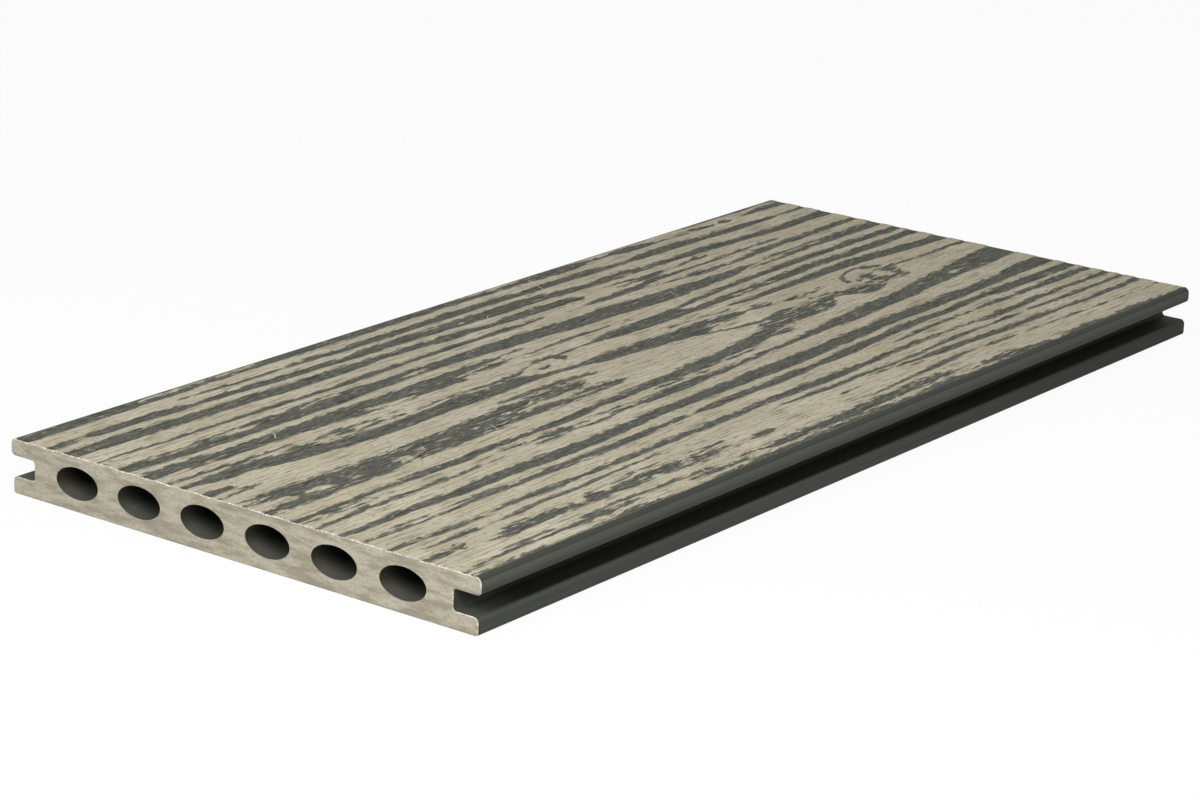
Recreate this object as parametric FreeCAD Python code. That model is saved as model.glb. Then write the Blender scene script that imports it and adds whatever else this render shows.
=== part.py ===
import FreeCAD, Part
import math
import os

# Hollow extruded decking board with a clip groove along each side.
# X runs along the board, Y across it and Z up, and the origin is the middle of the flat underside.

# Overall size in millimetres
LENGTH = 460.0
WIDTH = 210.0
THICKNESS = 20.0

# Clip grooves: each side has a lip above its groove and a lip below it, which stops short of the upper one
UPPER_LIP = 6.2
LOWER_LIP = 6.3
LOWER_LIP_SET_BACK = 1.0
GROOVE_DEPTH = 11.3

# Radii of the lips' edges and of the corners at the back of a groove
TOP_EDGE_RADIUS = 2.2
UPPER_LIP_UNDER_RADIUS = 1.7
LOWER_LIP_TOP_RADIUS = 1.8
BOTTOM_EDGE_RADIUS = 1.0
GROOVE_ROOT_RADIUS = 1.3

# Hollow oval chambers, set by the walls that are left around them
CHAMBER_COUNT = 6
TOP_SKIN = 3.9
BOTTOM_SKIN = 4.6
WEB = 9.4
SIDE_WALL = 10.9


def corner_arc(before, corner, after, radius):
    """Return the arc of this radius that is tangent to both straight runs at a corner."""
    towards_before = (before - corner).normalize()
    towards_after = (after - corner).normalize()
    bisector = (towards_before + towards_after).normalize()
    half_angle = towards_before.getAngle(towards_after) / 2.0
    reach = radius / math.tan(half_angle)
    middle = radius / math.sin(half_angle) - radius
    return Part.Arc(
        corner + towards_before * reach,
        corner + bisector * middle,
        corner + towards_after * reach,
    )


def rounded_outline(corners):
    """Return a closed wire of straight runs and arcs through corners given as (point, radius)."""
    arcs = []
    for index, (corner, radius) in enumerate(corners):
        before = corners[index - 1][0]
        after = corners[(index + 1) % len(corners)][0]
        arcs.append(corner_arc(before, corner, after, radius))
    edges = []
    for index, arc in enumerate(arcs):
        following = arcs[(index + 1) % len(arcs)]
        edges.append(arc.toShape())
        edges.append(Part.LineSegment(arc.EndPoint, following.StartPoint).toShape())
    return Part.Wire(edges)


def side_corners(side, x):
    """Return one side's corners from the underside up to the walking face, side being -1 or +1."""
    edge_profile = [
        (LOWER_LIP_SET_BACK, 0.0, BOTTOM_EDGE_RADIUS),
        (LOWER_LIP_SET_BACK, LOWER_LIP, LOWER_LIP_TOP_RADIUS),
        (GROOVE_DEPTH, LOWER_LIP, GROOVE_ROOT_RADIUS),
        (GROOVE_DEPTH, THICKNESS - UPPER_LIP, GROOVE_ROOT_RADIUS),
        (0.0, THICKNESS - UPPER_LIP, UPPER_LIP_UNDER_RADIUS),
        (0.0, THICKNESS, TOP_EDGE_RADIUS),
    ]
    corners = []
    for inset, height, radius in edge_profile:
        corners.append((FreeCAD.Vector(x, side * (WIDTH / 2.0 - inset), height), radius))
    return corners


def board_blank():
    """Return the solid section with its lips and grooves, extruded to the board's length."""
    near_end = -LENGTH / 2.0
    outline = side_corners(1, near_end) + side_corners(-1, near_end)[::-1]
    face = Part.Face(rounded_outline(outline))
    return face.extrude(FreeCAD.Vector(LENGTH, 0, 0))


def chamber_cores():
    """Return the oval cores that hollow the board from end to end, evenly spaced across it."""
    hollow_width = WIDTH - 2.0 * (GROOVE_DEPTH + SIDE_WALL)
    chamber_width = (hollow_width - (CHAMBER_COUNT - 1) * WEB) / CHAMBER_COUNT
    chamber_height = THICKNESS - TOP_SKIN - BOTTOM_SKIN
    centre_height = BOTTOM_SKIN + chamber_height / 2.0
    pitch = chamber_width + WEB
    cores = []
    for index in range(CHAMBER_COUNT):
        across = (index - (CHAMBER_COUNT - 1) / 2.0) * pitch
        centre = FreeCAD.Vector(-LENGTH / 2.0, across, centre_height)
        sideways = FreeCAD.Vector(0, chamber_width / 2.0, 0)
        upwards = FreeCAD.Vector(0, 0, chamber_height / 2.0)
        shorter, longer = sorted([sideways, upwards], key=lambda semi_axis: semi_axis.Length)
        oval = Part.Ellipse(centre + longer, centre + shorter, centre).toShape()
        cores.append(Part.Face(Part.Wire(oval)).extrude(FreeCAD.Vector(LENGTH, 0, 0)))
    return cores


def decking_board():
    """Return the finished board as one solid."""
    return board_blank().cut(chamber_cores())


os.makedirs("parts", exist_ok=True)
board = decking_board()
board.exportStep("parts/decking_board.step")
print("solids", len(board.Solids), "valid", board.isValid(), "volume mm3", round(board.Volume, 1))
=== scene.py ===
import logging
import math
from collections.abc import Iterable
from dataclasses import dataclass
from enum import Enum

import bpy
import numpy as np
from mathutils import Matrix, Vector
from mathutils.geometry import tessellate_polygon


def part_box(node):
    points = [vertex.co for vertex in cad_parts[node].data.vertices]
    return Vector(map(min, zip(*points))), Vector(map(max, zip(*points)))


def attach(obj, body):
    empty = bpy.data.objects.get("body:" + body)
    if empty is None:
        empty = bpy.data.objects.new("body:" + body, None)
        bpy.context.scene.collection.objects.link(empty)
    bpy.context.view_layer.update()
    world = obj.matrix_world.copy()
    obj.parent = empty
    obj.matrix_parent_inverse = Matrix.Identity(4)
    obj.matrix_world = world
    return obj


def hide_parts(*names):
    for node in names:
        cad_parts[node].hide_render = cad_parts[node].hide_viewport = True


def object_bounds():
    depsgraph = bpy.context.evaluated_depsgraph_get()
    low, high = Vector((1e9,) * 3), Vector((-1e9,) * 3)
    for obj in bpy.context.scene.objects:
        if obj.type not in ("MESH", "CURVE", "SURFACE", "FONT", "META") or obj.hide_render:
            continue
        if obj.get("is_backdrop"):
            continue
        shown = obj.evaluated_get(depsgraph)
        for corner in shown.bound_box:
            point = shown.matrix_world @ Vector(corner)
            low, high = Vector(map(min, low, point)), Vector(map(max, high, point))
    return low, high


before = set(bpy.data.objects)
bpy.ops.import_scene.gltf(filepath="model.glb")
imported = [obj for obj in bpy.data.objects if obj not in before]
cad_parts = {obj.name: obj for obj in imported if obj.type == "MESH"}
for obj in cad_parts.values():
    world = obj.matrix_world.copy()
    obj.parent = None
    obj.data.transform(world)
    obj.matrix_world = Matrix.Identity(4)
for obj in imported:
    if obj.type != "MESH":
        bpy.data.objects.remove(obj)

CAD_LOW, CAD_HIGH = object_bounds()

LOG = logging.getLogger("decking_board")
NODE = "decking_board"
MM = 0.001

# A field value, in millimetres, that is off every streak, and how steeply a streak dies out past its ends
FAR_OUTSIDE = -9.0
END_SLOPE = 0.5

# How far a knot ring thins out with each degree beyond its arc, in millimetres
ARC_FADE = 0.08

# Layered noise: the change of seed and of strength from one layer to the next, and the strength of the sum
LAYER_SEED_STEP = 17
LAYER_FADE = 0.5
NOISE_GAIN = 1.15

Colour = tuple[float, float, float]
Point2 = tuple[float, float]
Point3 = tuple[float, float, float]
Mark = tuple[float, float, float]

# Low, high, start and stop of a graded value, which is start up to low and stop from high on
Step = tuple[float, float, float, float]


class Skin(Enum):
    """The four kinds of surface on the board, in the order of its material slots."""

    WALKING_FACE = 0
    EXTRUDED = 1
    SAWN = 2
    BURR = 3


class Pattern(Enum):
    """The seeds of the noise patterns that are pressed into the walking face."""

    WANDER = 5
    WAVE = 11
    FIBRE = 29


def srgb(red: int, green: int, blue: int) -> Colour:
    """Return a display colour as the linear colour that shaders use.

    Args:
        red: Red, 0 to 255.
        green: Green, 0 to 255.
        blue: Blue, 0 to 255.

    Returns:
        The linear colour.
    """
    def linear(value: int) -> float:
        """Return one channel on the linear scale."""
        share = value / 255.0
        return share / 12.92 if share <= 0.04045 else ((share + 0.055) / 1.055) ** 2.4

    return linear(red), linear(green), linear(blue)


def ramp(values: np.ndarray, low: float, high: float) -> np.ndarray:
    """Return a smooth step from 0 at low to 1 at high.

    Args:
        values: The values to grade.
        low: Where the step starts.
        high: Where the step ends.

    Returns:
        The step's height at each value.
    """
    share = np.clip((values - low) / (high - low), 0.0, 1.0)
    return share * share * (3.0 - 2.0 * share)


def lattice_noise(along: np.ndarray, across: np.ndarray, seed: int) -> np.ndarray:
    """Return smooth noise between -1 and 1 whose lattice has a pitch of 1.

    Args:
        along: First coordinate of each point, in lattice steps.
        across: Second coordinate of each point, in lattice steps.
        seed: A whole number that picks the pattern.

    Returns:
        The noise at each point.
    """
    column = np.floor(along).astype(np.int64)
    row = np.floor(across).astype(np.int64)
    blend_along = along - column
    blend_across = across - row
    blend_along = blend_along * blend_along * (3.0 - 2.0 * blend_along)
    blend_across = blend_across * blend_across * (3.0 - 2.0 * blend_across)

    def corner(step_along: int, step_across: int) -> np.ndarray:
        """Return the value at one corner of each point's cell, from a hash with large odd factors.

        Args:
            step_along: 0 for the cell's near side and 1 for its far side.
            step_across: The same across the lattice.

        Returns:
            The value, from -1 to 1.
        """
        mixed = (column + step_along) * 73856093 ^ (row + step_across) * 19349663 ^ seed * 83492791
        mixed = (mixed ^ (mixed >> 13)) * 1274126177 & 0x7FFFFFFF
        mixed = (mixed ^ (mixed >> 15)) * 668265263 & 0x7FFFFFFF
        return (mixed >> 8 & 0xFFFF) / 32767.5 - 1.0

    near = corner(0, 0) * (1.0 - blend_along) + corner(1, 0) * blend_along
    far = corner(0, 1) * (1.0 - blend_along) + corner(1, 1) * blend_along
    return near * (1.0 - blend_across) + far * blend_across


def layered_noise(
    x: np.ndarray, y: np.ndarray, grain: Point2, pattern: Pattern, layers: int = 2
) -> np.ndarray:
    """Return noise of several sizes, each layer half as large and half as strong as the one before.

    Args:
        x: Distance along the board, in millimetres.
        y: Distance across the board, in millimetres.
        grain: Length and width of the coarsest features, in millimetres.
        pattern: Which pattern to draw.
        layers: How many layers to add.

    Returns:
        The noise at each point, mostly between -1 and 1.
    """
    total = np.zeros_like(x)
    for layer in range(layers):
        finer = 2.0 ** layer
        seed = pattern.value + LAYER_SEED_STEP * layer
        total += LAYER_FADE ** layer * lattice_noise(x * finer / grain[0], y * finer / grain[1], seed)
    return total * NOISE_GAIN


@dataclass(frozen=True)
class Streak:
    """One dark, recessed streak of the grain, or one light gap inside such streaks.

    Attributes:
        marks: The given marks (distance from the near end, distance from the left edge, half width),
            all in millimetres. A negative half width ends the streak.
        ragged: How far noise moves the streak's edge, in millimetres.
    """

    marks: tuple[Mark, ...]
    ragged: float = 0.7

    def depth_inside(self, x: np.ndarray, y: np.ndarray) -> np.ndarray:
        """Return how far each point lies inside the streak, in millimetres, negative outside.

        Args:
            x: Distance from the near end.
            y: Distance from the left edge.

        Returns:
            The signed distance to the streak's nearer long edge.
        """
        places, middles, halves = zip(*self.marks)
        middle = np.interp(x, places, middles)
        half = np.interp(x, places, halves)
        beyond = np.maximum(places[0] - x, x - places[-1])
        return half - np.abs(y - middle) - END_SLOPE * np.maximum(beyond, 0.0)


@dataclass(frozen=True)
class KnotRing:
    """One oval ring of the knot.

    Attributes:
        centre: Distance from the near end and from the left edge, in millimetres.
        semi_axes: Half length and half width of the oval, in millimetres.
        half_thickness: Half the ring's thickness, in millimetres.
        arc: First and last angle of the ring in degrees, 0 towards the far end and 90 towards the left edge.
        ragged: How far noise moves the ring's edges, in millimetres.
    """

    centre: Point2
    semi_axes: Point2
    half_thickness: float
    arc: Point2
    ragged: float

    def depth_inside(self, x: np.ndarray, y: np.ndarray) -> np.ndarray:
        """Return how far each point lies inside the ring's line, in millimetres, negative outside.

        Args:
            x: Distance from the near end.
            y: Distance from the left edge.

        Returns:
            The signed distance to the ring's nearer edge.
        """
        over = (x - self.centre[0]) / self.semi_axes[0]
        up = (self.centre[1] - y) / self.semi_axes[1]
        angle = np.degrees(np.arctan2(up, over)) % 360.0
        middle = (self.arc[0] + self.arc[1]) / 2.0
        off_arc = np.abs((angle - middle + 180.0) % 360.0 - 180.0) - (self.arc[1] - self.arc[0]) / 2.0
        away = np.abs(np.hypot(over, up) - 1.0) * min(self.semi_axes)
        return self.half_thickness - away - np.clip(off_arc, 0.0, 90.0) * ARC_FADE


@dataclass(frozen=True)
class Scuff:
    """A short pale scuff on the walking face, in millimetres from the near end and from the left edge.

    Attributes:
        start: One end.
        stop: The other end.
        half_width: Half its width.
        strength: How far it hides what lies under it, from 0 to 1.
    """

    start: Point2
    stop: Point2
    half_width: float
    strength: float


STREAKS = (
    Streak(((0, 4.9, 3.3), (50, 5, 3.1), (62, 5.6, 1.8), (90, 5.5, 1.5), (118, 5.2, 1.6), (126, 4.2, 2.4),
        (150, 4.4, 2.6), (200, 4.4, 2.7), (230, 4.4, 2.2), (262, 5, 1.6), (285, 5.3, 2.7), (310, 5.4, 3.2),
        (321, 5.2, 1.4), (335, 5.5, 0.8), (344, 6, 3), (355, 6.2, 2.6), (364, 7.3, 1.4), (378, 7.8, 0.8),
        (386, 8, 0.6), (389, 7, -0.2), (393, 6.6, 1.9), (400, 7.6, 1.6), (406, 8.8, 0.9), (409, 8.6, -0.5),
        (413, 8, 1.9), (418, 8.2, 1.2), (422, 8, -0.8), (436, 7.5, 1.4), (460, 7.6, 2.6)), 0.9),
    Streak(((50, 2, 0.2), (60, 2, 0.9), (118, 2, 0.8), (380, 1.8, -0.4), (400, 2, 0.8), (460, 2.2, 1)), 0.5),
    Streak(((66, 12.8, -0.8), (74, 12.9, 0.9), (81, 12.8, 0.6), (92, 13, 1.1), (102, 14, 0.8),
        (115, 14.2, 0.9), (130, 13.7, 1.1), (145, 13.4, 1.9), (160, 14, 2.1), (180, 14.5, 2.5),
        (200, 14.3, 2.4), (222, 14, 3.1), (240, 14.8, 2.4), (256, 14.6, 2.5), (266, 15.2, 1.8),
        (285, 15, 2.8), (310, 15.6, 3), (322, 16.8, 1.8), (332, 16.8, 0.9), (340, 16.4, 2.7), (360, 16, 3),
        (376, 16.6, 2.8), (386, 17.6, 2), (402, 17.6, 3.1), (418, 18, 2.6), (434, 18.5, 1.4),
        (443, 18.8, 0.5), (460, 19, 1.8))),
    Streak(((0, 18.2, 2.2), (14, 18.3, 2), (18, 18.3, 1.6), (24, 18.4, 2.4), (50, 18.8, 2.8),
        (62, 19.2, 2.8), (72, 20.4, 1.7), (100, 21, 2.3), (128, 21.8, 2.4), (150, 23, 2.4), (165, 22.4, 3.4),
        (185, 22.8, 3.3), (205, 23.3, 3.4), (235, 24, 4), (252, 24.2, 3.8), (270, 25.2, 3.4),
        (282, 27.2, 2.3), (300, 27.7, 2.5), (320, 27.4, 3.2), (334, 28.6, 2.3), (350, 28.8, 2.2),
        (368, 28.8, 3.1), (382, 29.5, 3.2), (390, 30.4, 1.8), (402, 30.6, 2.6), (422, 32, 2.5),
        (438, 31, 3.3), (460, 30.8, 3.7))),
    Streak(((0, 28.2, 3.8), (30, 28.9, 4.1), (60, 29.8, 3.3), (90, 30.3, 3.5), (110, 31.2, 3.8),
        (140, 32, 3.4), (160, 31.6, 2.2), (180, 32.3, 2.4), (195, 33.6, 3.2), (212, 33.8, 2.4),
        (226, 35.2, 1.7), (238, 34.6, 3.3), (252, 34.8, 3.3), (266, 35.3, 2.6), (276, 36, 2),
        (282, 36.4, -1)), 0.8),
    Streak(((292, 34.2, -0.6), (298, 34.8, 0.6), (308, 35, 0.6), (312, 36, 0.5), (317, 37.8, 1.9),
        (324, 37.2, 2.2), (330, 36.6, 1.9), (333, 36.4, -0.2), (340, 37, -0.1), (344, 36.4, 1.1),
        (350, 35.6, 0.6), (355, 35.2, 1.3), (362, 35, 1.6), (368, 34.6, -1)), 0.8),
    Streak(((296, 38.4, -0.5), (300, 38.4, 0.6), (310, 38.2, 0.6), (318, 38.6, 1)), 0.8),
    Streak(((0, 41, 0.7), (20, 41.2, 0.9), (40, 42, 1.1), (60, 42.2, 1.3), (85, 42.4, 1.7), (105, 42.9, 1.5),
        (125, 43.4, 1.6), (148, 43, 2), (165, 42.9, 1.3), (185, 42.7, 1.8), (205, 42.8, 1.5), (222, 42.5, 2),
        (232, 43.4, 1), (242, 43, 0.9), (248, 43, -0.8)), 0.5),
    Streak(((254, 45.6, -0.4), (262, 45.4, 0.2), (270, 44.8, 0.5), (276, 44.2, 1.7), (296, 44.3, 2.4),
        (304, 44.4, 2.2), (312, 42.4, 1.8), (320, 41.4, 2), (332, 42.4, 1.2), (350, 42, 0.9),
        (362, 41.6, 1.2), (372, 41.2, 1), (380, 41, 1.4), (387, 41, 0.3), (396, 40.8, 1.2), (406, 41, 0.6),
        (412, 41, -0.8)), 0.6),
    Streak(((0, 45, 0.4), (12, 45, 0.6), (22, 45.5, -0.5)), 0.9),
    Streak(((306, 46.8, -0.3), (312, 47.2, 0.5), (322, 48.2, 0.7), (330, 49, 1.1), (336, 49.4, 2),
        (346, 49.2, 2.1), (354, 49, 1.2), (360, 49.6, 0.6), (370, 49, 1.4), (385, 47.6, 2.4), (402, 47, 2),
        (412, 46.8, 2.5), (430, 46.2, 2), (460, 45.8, 2)), 0.8),
    Streak(((0, 53.6, 3.1), (20, 54, 3.5), (35, 54.5, 3.7), (50, 54.4, 4.2), (75, 53.7, 4.6),
        (100, 53.2, 4.9), (125, 53, 4.3), (145, 53.4, 3.4), (160, 53.2, 3.2), (175, 53.1, 3.7),
        (192, 53.8, 4), (202, 54.8, 4.8), (225, 55, 4.9), (250, 56.6, 4.9), (270, 57, 5.3), (290, 58.5, 5.5),
        (303, 58.8, 5.2), (312, 59.6, 4.6), (325, 59, 4), (340, 59, 3.5), (352, 58.8, 2.9), (360, 57.6, 1.6),
        (368, 57, 0.9), (372, 57, -1)), 0.8),
    Streak(((358, 61, -0.2), (366, 60.8, 0.5), (378, 59.8, 0.9), (392, 59.4, 1.5), (405, 58.6, 1.7),
        (418, 58.2, 2), (428, 57, 3), (445, 57, 3), (460, 56.6, 3.4)), 0.9),
    Streak(((0, 64.8, 3.8), (15, 65, 4), (28, 65.3, 4.4), (38, 66.8, 3.4), (50, 66.2, 4), (65, 66.4, 4.1),
        (82, 67, 4.6), (100, 67.6, 5.3), (120, 67.6, 5.3), (140, 67.4, 5.6), (152, 67.2, 5.8),
        (162, 64.6, 3), (178, 63.9, 2.2), (187, 63.8, 1.6), (193, 64, -0.5)), 1),
    Streak(((142, 70.5, -1), (150, 70.4, 1.6), (157, 71.5, 2), (165, 69.8, 0.8), (178, 69.5, 1.2),
        (190, 68.3, 0.8), (196, 68.3, -1)), 1.4),
    Streak(((198, 69.4, -0.4), (204, 69.2, 0.6), (214, 69, 0.6), (224, 68.2, 1), (234, 67.9, 1.1),
        (246, 68.6, 0.8), (254, 69, -0.4)), 0.9),
    Streak(((190, 63.8, -0.3), (197, 63.5, 0.5), (204, 63.5, 0.3), (209, 63.5, -0.4)), 0.8),
    Streak(((258, 70.4, -0.4), (264, 70, 0.7), (271, 69.8, -0.3)), 0.8),
    Streak(((240, 72.6, -0.4), (246, 72, 0.5), (251, 72.2, -0.4)), 0.8),
    Streak(((286, 73.4, 0.8), (300, 72, 1.4), (315, 71, 1.8), (330, 70, 2), (350, 69, 1.8), (375, 67.8, 2.3),
        (400, 67.8, 2.3), (425, 67.2, 2.4), (445, 67.8, 2.4), (460, 68, 2.2)), 0.5),
    Streak(((184, 79.2, -0.3), (190, 78.6, 0.7), (200, 77.6, 1.2), (212, 77.4, 0.9), (222, 77.2, 0.5),
        (228, 77.6, 0.8), (236, 77.2, 2.4), (246, 77, 3.6), (265, 76.8, 4.2), (288, 77, 4.4),
        (294, 79.2, 2.2), (310, 79, 2.3), (330, 78.2, 2.4), (350, 77.6, 2.4), (380, 76.7, 2.8),
        (400, 76.9, 2.9), (425, 76.9, 2.9), (445, 77.2, 2.3), (460, 76.6, 3.4))),
    Streak(((202, 80.4, -1.5), (205, 80.2, 3.2), (208, 80.4, 2.8), (211, 80.4, -1.5)), 1),
    Streak(((0, 75, 1), (14, 74.8, 1.2), (25, 75.5, 1.2), (35, 76.6, 0.8), (45, 76.2, 0.6), (55, 76.2, 0.9),
        (60, 76.6, 0.8), (63, 77, -0.6)), 0.8),
    Streak(((0, 80.8, 1.4), (10, 81.3, 2.4), (20, 82.6, 3.4), (30, 82.2, 4.4), (40, 83.6, 4.6),
        (50, 85.5, 4.7), (60, 86.3, 4.9), (66, 87.2, 4.7), (72, 88.5, 3.9), (85, 89.4, 4), (105, 89.6, 4),
        (125, 88.7, 4.4), (145, 88.4, 4.6), (158, 88.8, 3.9), (170, 88.4, 3.6), (178, 88.6, 3.2),
        (185, 90.2, 2), (194, 91.4, 1.2), (206, 92.6, 1.6), (216, 93.2, 3.2), (230, 93.8, 3.9),
        (245, 94.6, 4.5), (262, 96.2, 4.8), (272, 96.6, 5.4), (280, 95.2, 4.6), (290, 95.2, 3),
        (302, 95.8, 2.2), (310, 96, -0.8))),
    Streak(((27, 77, -0.3), (32, 77, 1.2), (37, 77.2, 0.7), (40, 77.4, -0.3)), 1),
    Streak(((72, 83.4, -0.3), (80, 83, 0.8), (87, 82.8, 0.9), (92, 82.4, 0.4), (96, 82.4, -0.3)), 1.5),
    Streak(((53, 79.6, -0.3), (58, 80.6, 1.7), (64, 81, 1.4), (69, 81.6, -0.4)), 1.3),
    Streak(((64, 79.6, -0.2), (72, 79.2, 0.7), (84, 78, 0.9), (100, 78.8, 0.7), (112, 79.2, 0.4),
        (120, 79.4, -0.4)), 0.9),
    Streak(((77, 80.8, -0.5), (82, 80.8, 1.9), (86, 81.2, 1.5), (90, 82, -0.3)), 1.5),
    Streak(((90, 82.6, -0.4), (95, 82.4, 0.9), (102, 82.8, 0.8), (106, 82, 0.4), (110, 82.2, 1.2),
        (115, 82.2, -0.3)), 1.3),
    Streak(((118, 83.6, -0.4), (124, 82.6, 0.3), (134, 81.4, 0.7), (150, 81.8, 0.8), (160, 83.4, 0.9),
        (170, 83.3, 1.6), (178, 82.9, 1.8), (182, 81.2, 1), (187, 79.8, 0.6), (190, 79.4, -0.5)), 1),
    Streak(((187, 85, -0.5), (190, 84.6, 1.2), (194, 84, 1), (196, 84, -0.5)), 0.8),
    Streak(((262, 101, -0.5), (266, 101.5, 1), (274, 103.6, 1.1), (284, 106.5, 1), (296, 108.2, 1),
        (304, 108.6, 1.2), (312, 108, 2.2), (319, 107.2, 1.8), (323, 106.6, 0.4)), 0.9),
    Streak(((260, 88.5, -0.4), (268, 87.6, 0.7), (280, 87.2, 0.4), (288, 87.5, 0.4), (298, 90, 0.6),
        (304, 90, -0.5)), 1),
    Streak(((304, 86.4, -0.5), (309, 86.4, 0.7), (320, 86.9, 1.7), (332, 86.8, 2), (345, 86.5, 2.3),
        (360, 86.2, 2.6), (370, 86, 2.7), (395, 85.6, 3), (410, 86.2, 3.5), (425, 88, 3.6), (445, 89.8, 3.2),
        (460, 90.4, 4)), 0.5),
    Streak(((306, 96, -1), (312, 95.8, 1.7), (317, 96, 1.7), (322, 97, 1.5), (326, 97.4, -0.5)), 1.3),
    Streak(((325, 99.8, -0.4), (330, 98.4, 0.9), (336, 99, 1.5), (344, 98.8, 1.3), (348, 99.8, 0.7),
        (354, 98.6, 0.5), (357, 98.2, -0.4)), 1.4),
    Streak(((288, 98.8, -0.4), (292, 99.2, 0.9), (295, 99.4, 0.6), (297, 99.4, -0.4)), 1.2),
    Streak(((299, 90.2, -0.4), (302, 90, 1.1), (305, 90.4, -0.4)), 1),
    Streak(((0, 92.3, 2.6), (8, 92.4, 2.2), (13, 92.8, 1.5), (16, 93.4, -0.5)), 1.4),
    Streak(((0, 97.4, 0.4), (11, 97.3, 0.9), (18, 96.6, 0.9), (24, 96.8, -0.6)), 0.9),
    Streak(((0, 105, 0.2), (8, 106.2, 0.6), (13, 106, 1.8), (20, 107.5, 3), (30, 109.5, 5), (50, 110.5, 5.2),
        (80, 111.5, 5.2), (110, 110, 5), (130, 108.2, 4.6), (148, 106.2, 3.6), (152, 106, 1)), 1.2),
    Streak(((146, 100.4, 0.2), (152, 100.2, 1), (165, 99.9, 1.3), (180, 100.1, 1.5), (192, 101, 1.2),
        (198, 102.4, 0.9), (206, 102.8, -0.6)), 0.9),
    Streak(((148, 106.2, 3), (158, 106, 2.9), (172, 106.2, 3.4), (186, 106.2, 3), (191, 105.2, 0.6),
        (194, 104.5, -0.8)), 2.1),
    Streak(((0, 120, 2.2), (20, 118.6, 3), (40, 117.5, 3.6), (70, 116.2, 3.6), (110, 115.2, 3.4),
        (140, 114.8, 3.2), (155, 114.8, 3.2), (168, 116.2, 1.9), (182, 114.8, 2.9), (195, 114.8, 2.2),
        (204, 115.4, -0.8)), 1.4),
    Streak(((290, 112.5, -0.5), (295, 112, 1.2), (303, 112, 1.8), (308, 112, 0.8)), 1.2),
    Streak(((283, 123, -0.5), (288, 122.5, 1.6), (294, 122.5, 2), (299, 122, 0.8), (302, 122, -0.5)), 1.5),
    Streak(((222, 129, 0.4), (235, 128.6, 0.7), (255, 128.5, 0.7), (265, 128.3, 0.4),
        (268, 128, -0.4)), 0.8),
    Streak(((224, 131.5, -0.4), (228, 131.6, 1.1), (233, 131.8, -0.4)), 1),
    Streak(((198, 131.5, -0.4), (206, 131.2, 1.3), (214, 130.8, 0.8), (217, 131, -0.4)), 1.4),
    Streak(((8, 132.6, -0.3), (14, 132.6, 1), (22, 133.2, 0.8), (30, 133, 0.9), (40, 133.2, 0.4),
        (46, 133, -0.4)), 1.7),
    Streak(((62, 135, -0.4), (66, 134.8, 0.6), (70, 135, -0.4), (84, 136.6, -0.4), (92, 136.4, 0.6),
        (97, 136, -0.4)), 1),
    Streak(((0, 110, 0.8), (10, 110, 1.6), (22, 111, 2)), 1.3),
    Streak(((0, 131, 1.6), (15, 130.6, 1.6), (35, 130.4, 1.3), (50, 130.1, 1.1), (70, 130.5, 2.1),
        (90, 130.4, 2.5), (105, 129.4, 1.8), (125, 129.3, 1.6), (145, 129.2, 2.1), (158, 128.6, 2),
        (170, 127.3, 1.7), (180, 127.3, 2.2), (190, 126.8, 2.2), (210, 126.4, 3), (235, 125, 4),
        (250, 123.7, 3.2), (265, 122.6, 4.2), (276, 121.2, 4.4), (286, 118.8, 3.6), (298, 115.6, 3.2),
        (304, 115.6, 2)), 0.8),
    Streak(((288, 117.4, 0.2), (296, 115.6, 2.6), (306, 113.6, 4.6), (322, 112.8, 5.4), (336, 112.6, 5.2),
        (342, 111, 3.8), (348, 108.6, 1.6), (354, 110, 2.6), (362, 112.6, 4.4), (370, 113.8, 3.6),
        (376, 113.8, 2.4), (381, 113.2, -0.8)), 1.7),
    Streak(((330, 105, -0.4), (336, 104.4, 0.5), (341, 104.2, 0.3), (346, 104.4, 0.8), (352, 106.4, 1.2),
        (356, 107.2, 0.8), (360, 108, -0.4)), 1.2),
    Streak(((0, 134.5, 0.3), (12, 135, 0.5), (30, 136, 0.4), (45, 135.5, -0.4)), 1.2),
    Streak(((96, 135, -0.8), (104, 134.8, 0.7), (114, 135.2, 0.9), (124, 135.6, 1.1), (131, 135.8, 2.1),
        (139, 135.8, 2.1), (143, 136, 0.6), (152, 136, 0.4), (156, 134.6, -0.4), (163, 134.2, 0.4),
        (168, 133.8, 0.6), (174, 134.2, -0.2), (180, 134.6, 0.5), (190, 134.8, -0.5)), 1.1),
    Streak(((114, 139, -0.5), (120, 139.2, 0.8), (128, 139.4, 0.9), (135, 138.6, 0.2), (140, 138.2, 0.7),
        (150, 138.6, 0.9), (160, 138.2, 0.7), (166, 137, 0.9), (180, 137.2, 1.1), (195, 137, 2.2),
        (210, 135.6, 3), (225, 135.8, 2.4), (245, 135.2, 1.4), (265, 134.2, 1.1), (285, 133.2, 1.5),
        (300, 132, 2.1), (315, 131.2, 3), (330, 130.5, 4), (350, 129, 4.4), (375, 128, 4.5),
        (395, 125.6, 4.9), (410, 124, 5.1), (425, 123, 5.8), (445, 121.6, 6.8), (460, 120.2, 6.9)), 0.8),
    Streak(((0, 141, 0.7), (12, 140.8, 0.8), (22, 140.2, 1.2), (27, 139.2, 1.9), (31, 140.6, 0.8),
        (40, 140.4, 1.1), (50, 140.7, 0.8), (60, 140.5, 0.7), (66, 139.6, 1.4), (74, 140.4, 0.6),
        (84, 139.6, 1), (89, 139.6, -0.3), (93, 139, 0.5), (98, 138.8, 0.4), (101, 138.8, -0.4)), 0.9),
    Streak(((396, 102.8, 0.6), (403, 101.5, 1.3), (410, 101.2, 1), (430, 101.8, 0.9), (445, 102, 1),
        (460, 102.5, 1.2)), 0.8),
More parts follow.
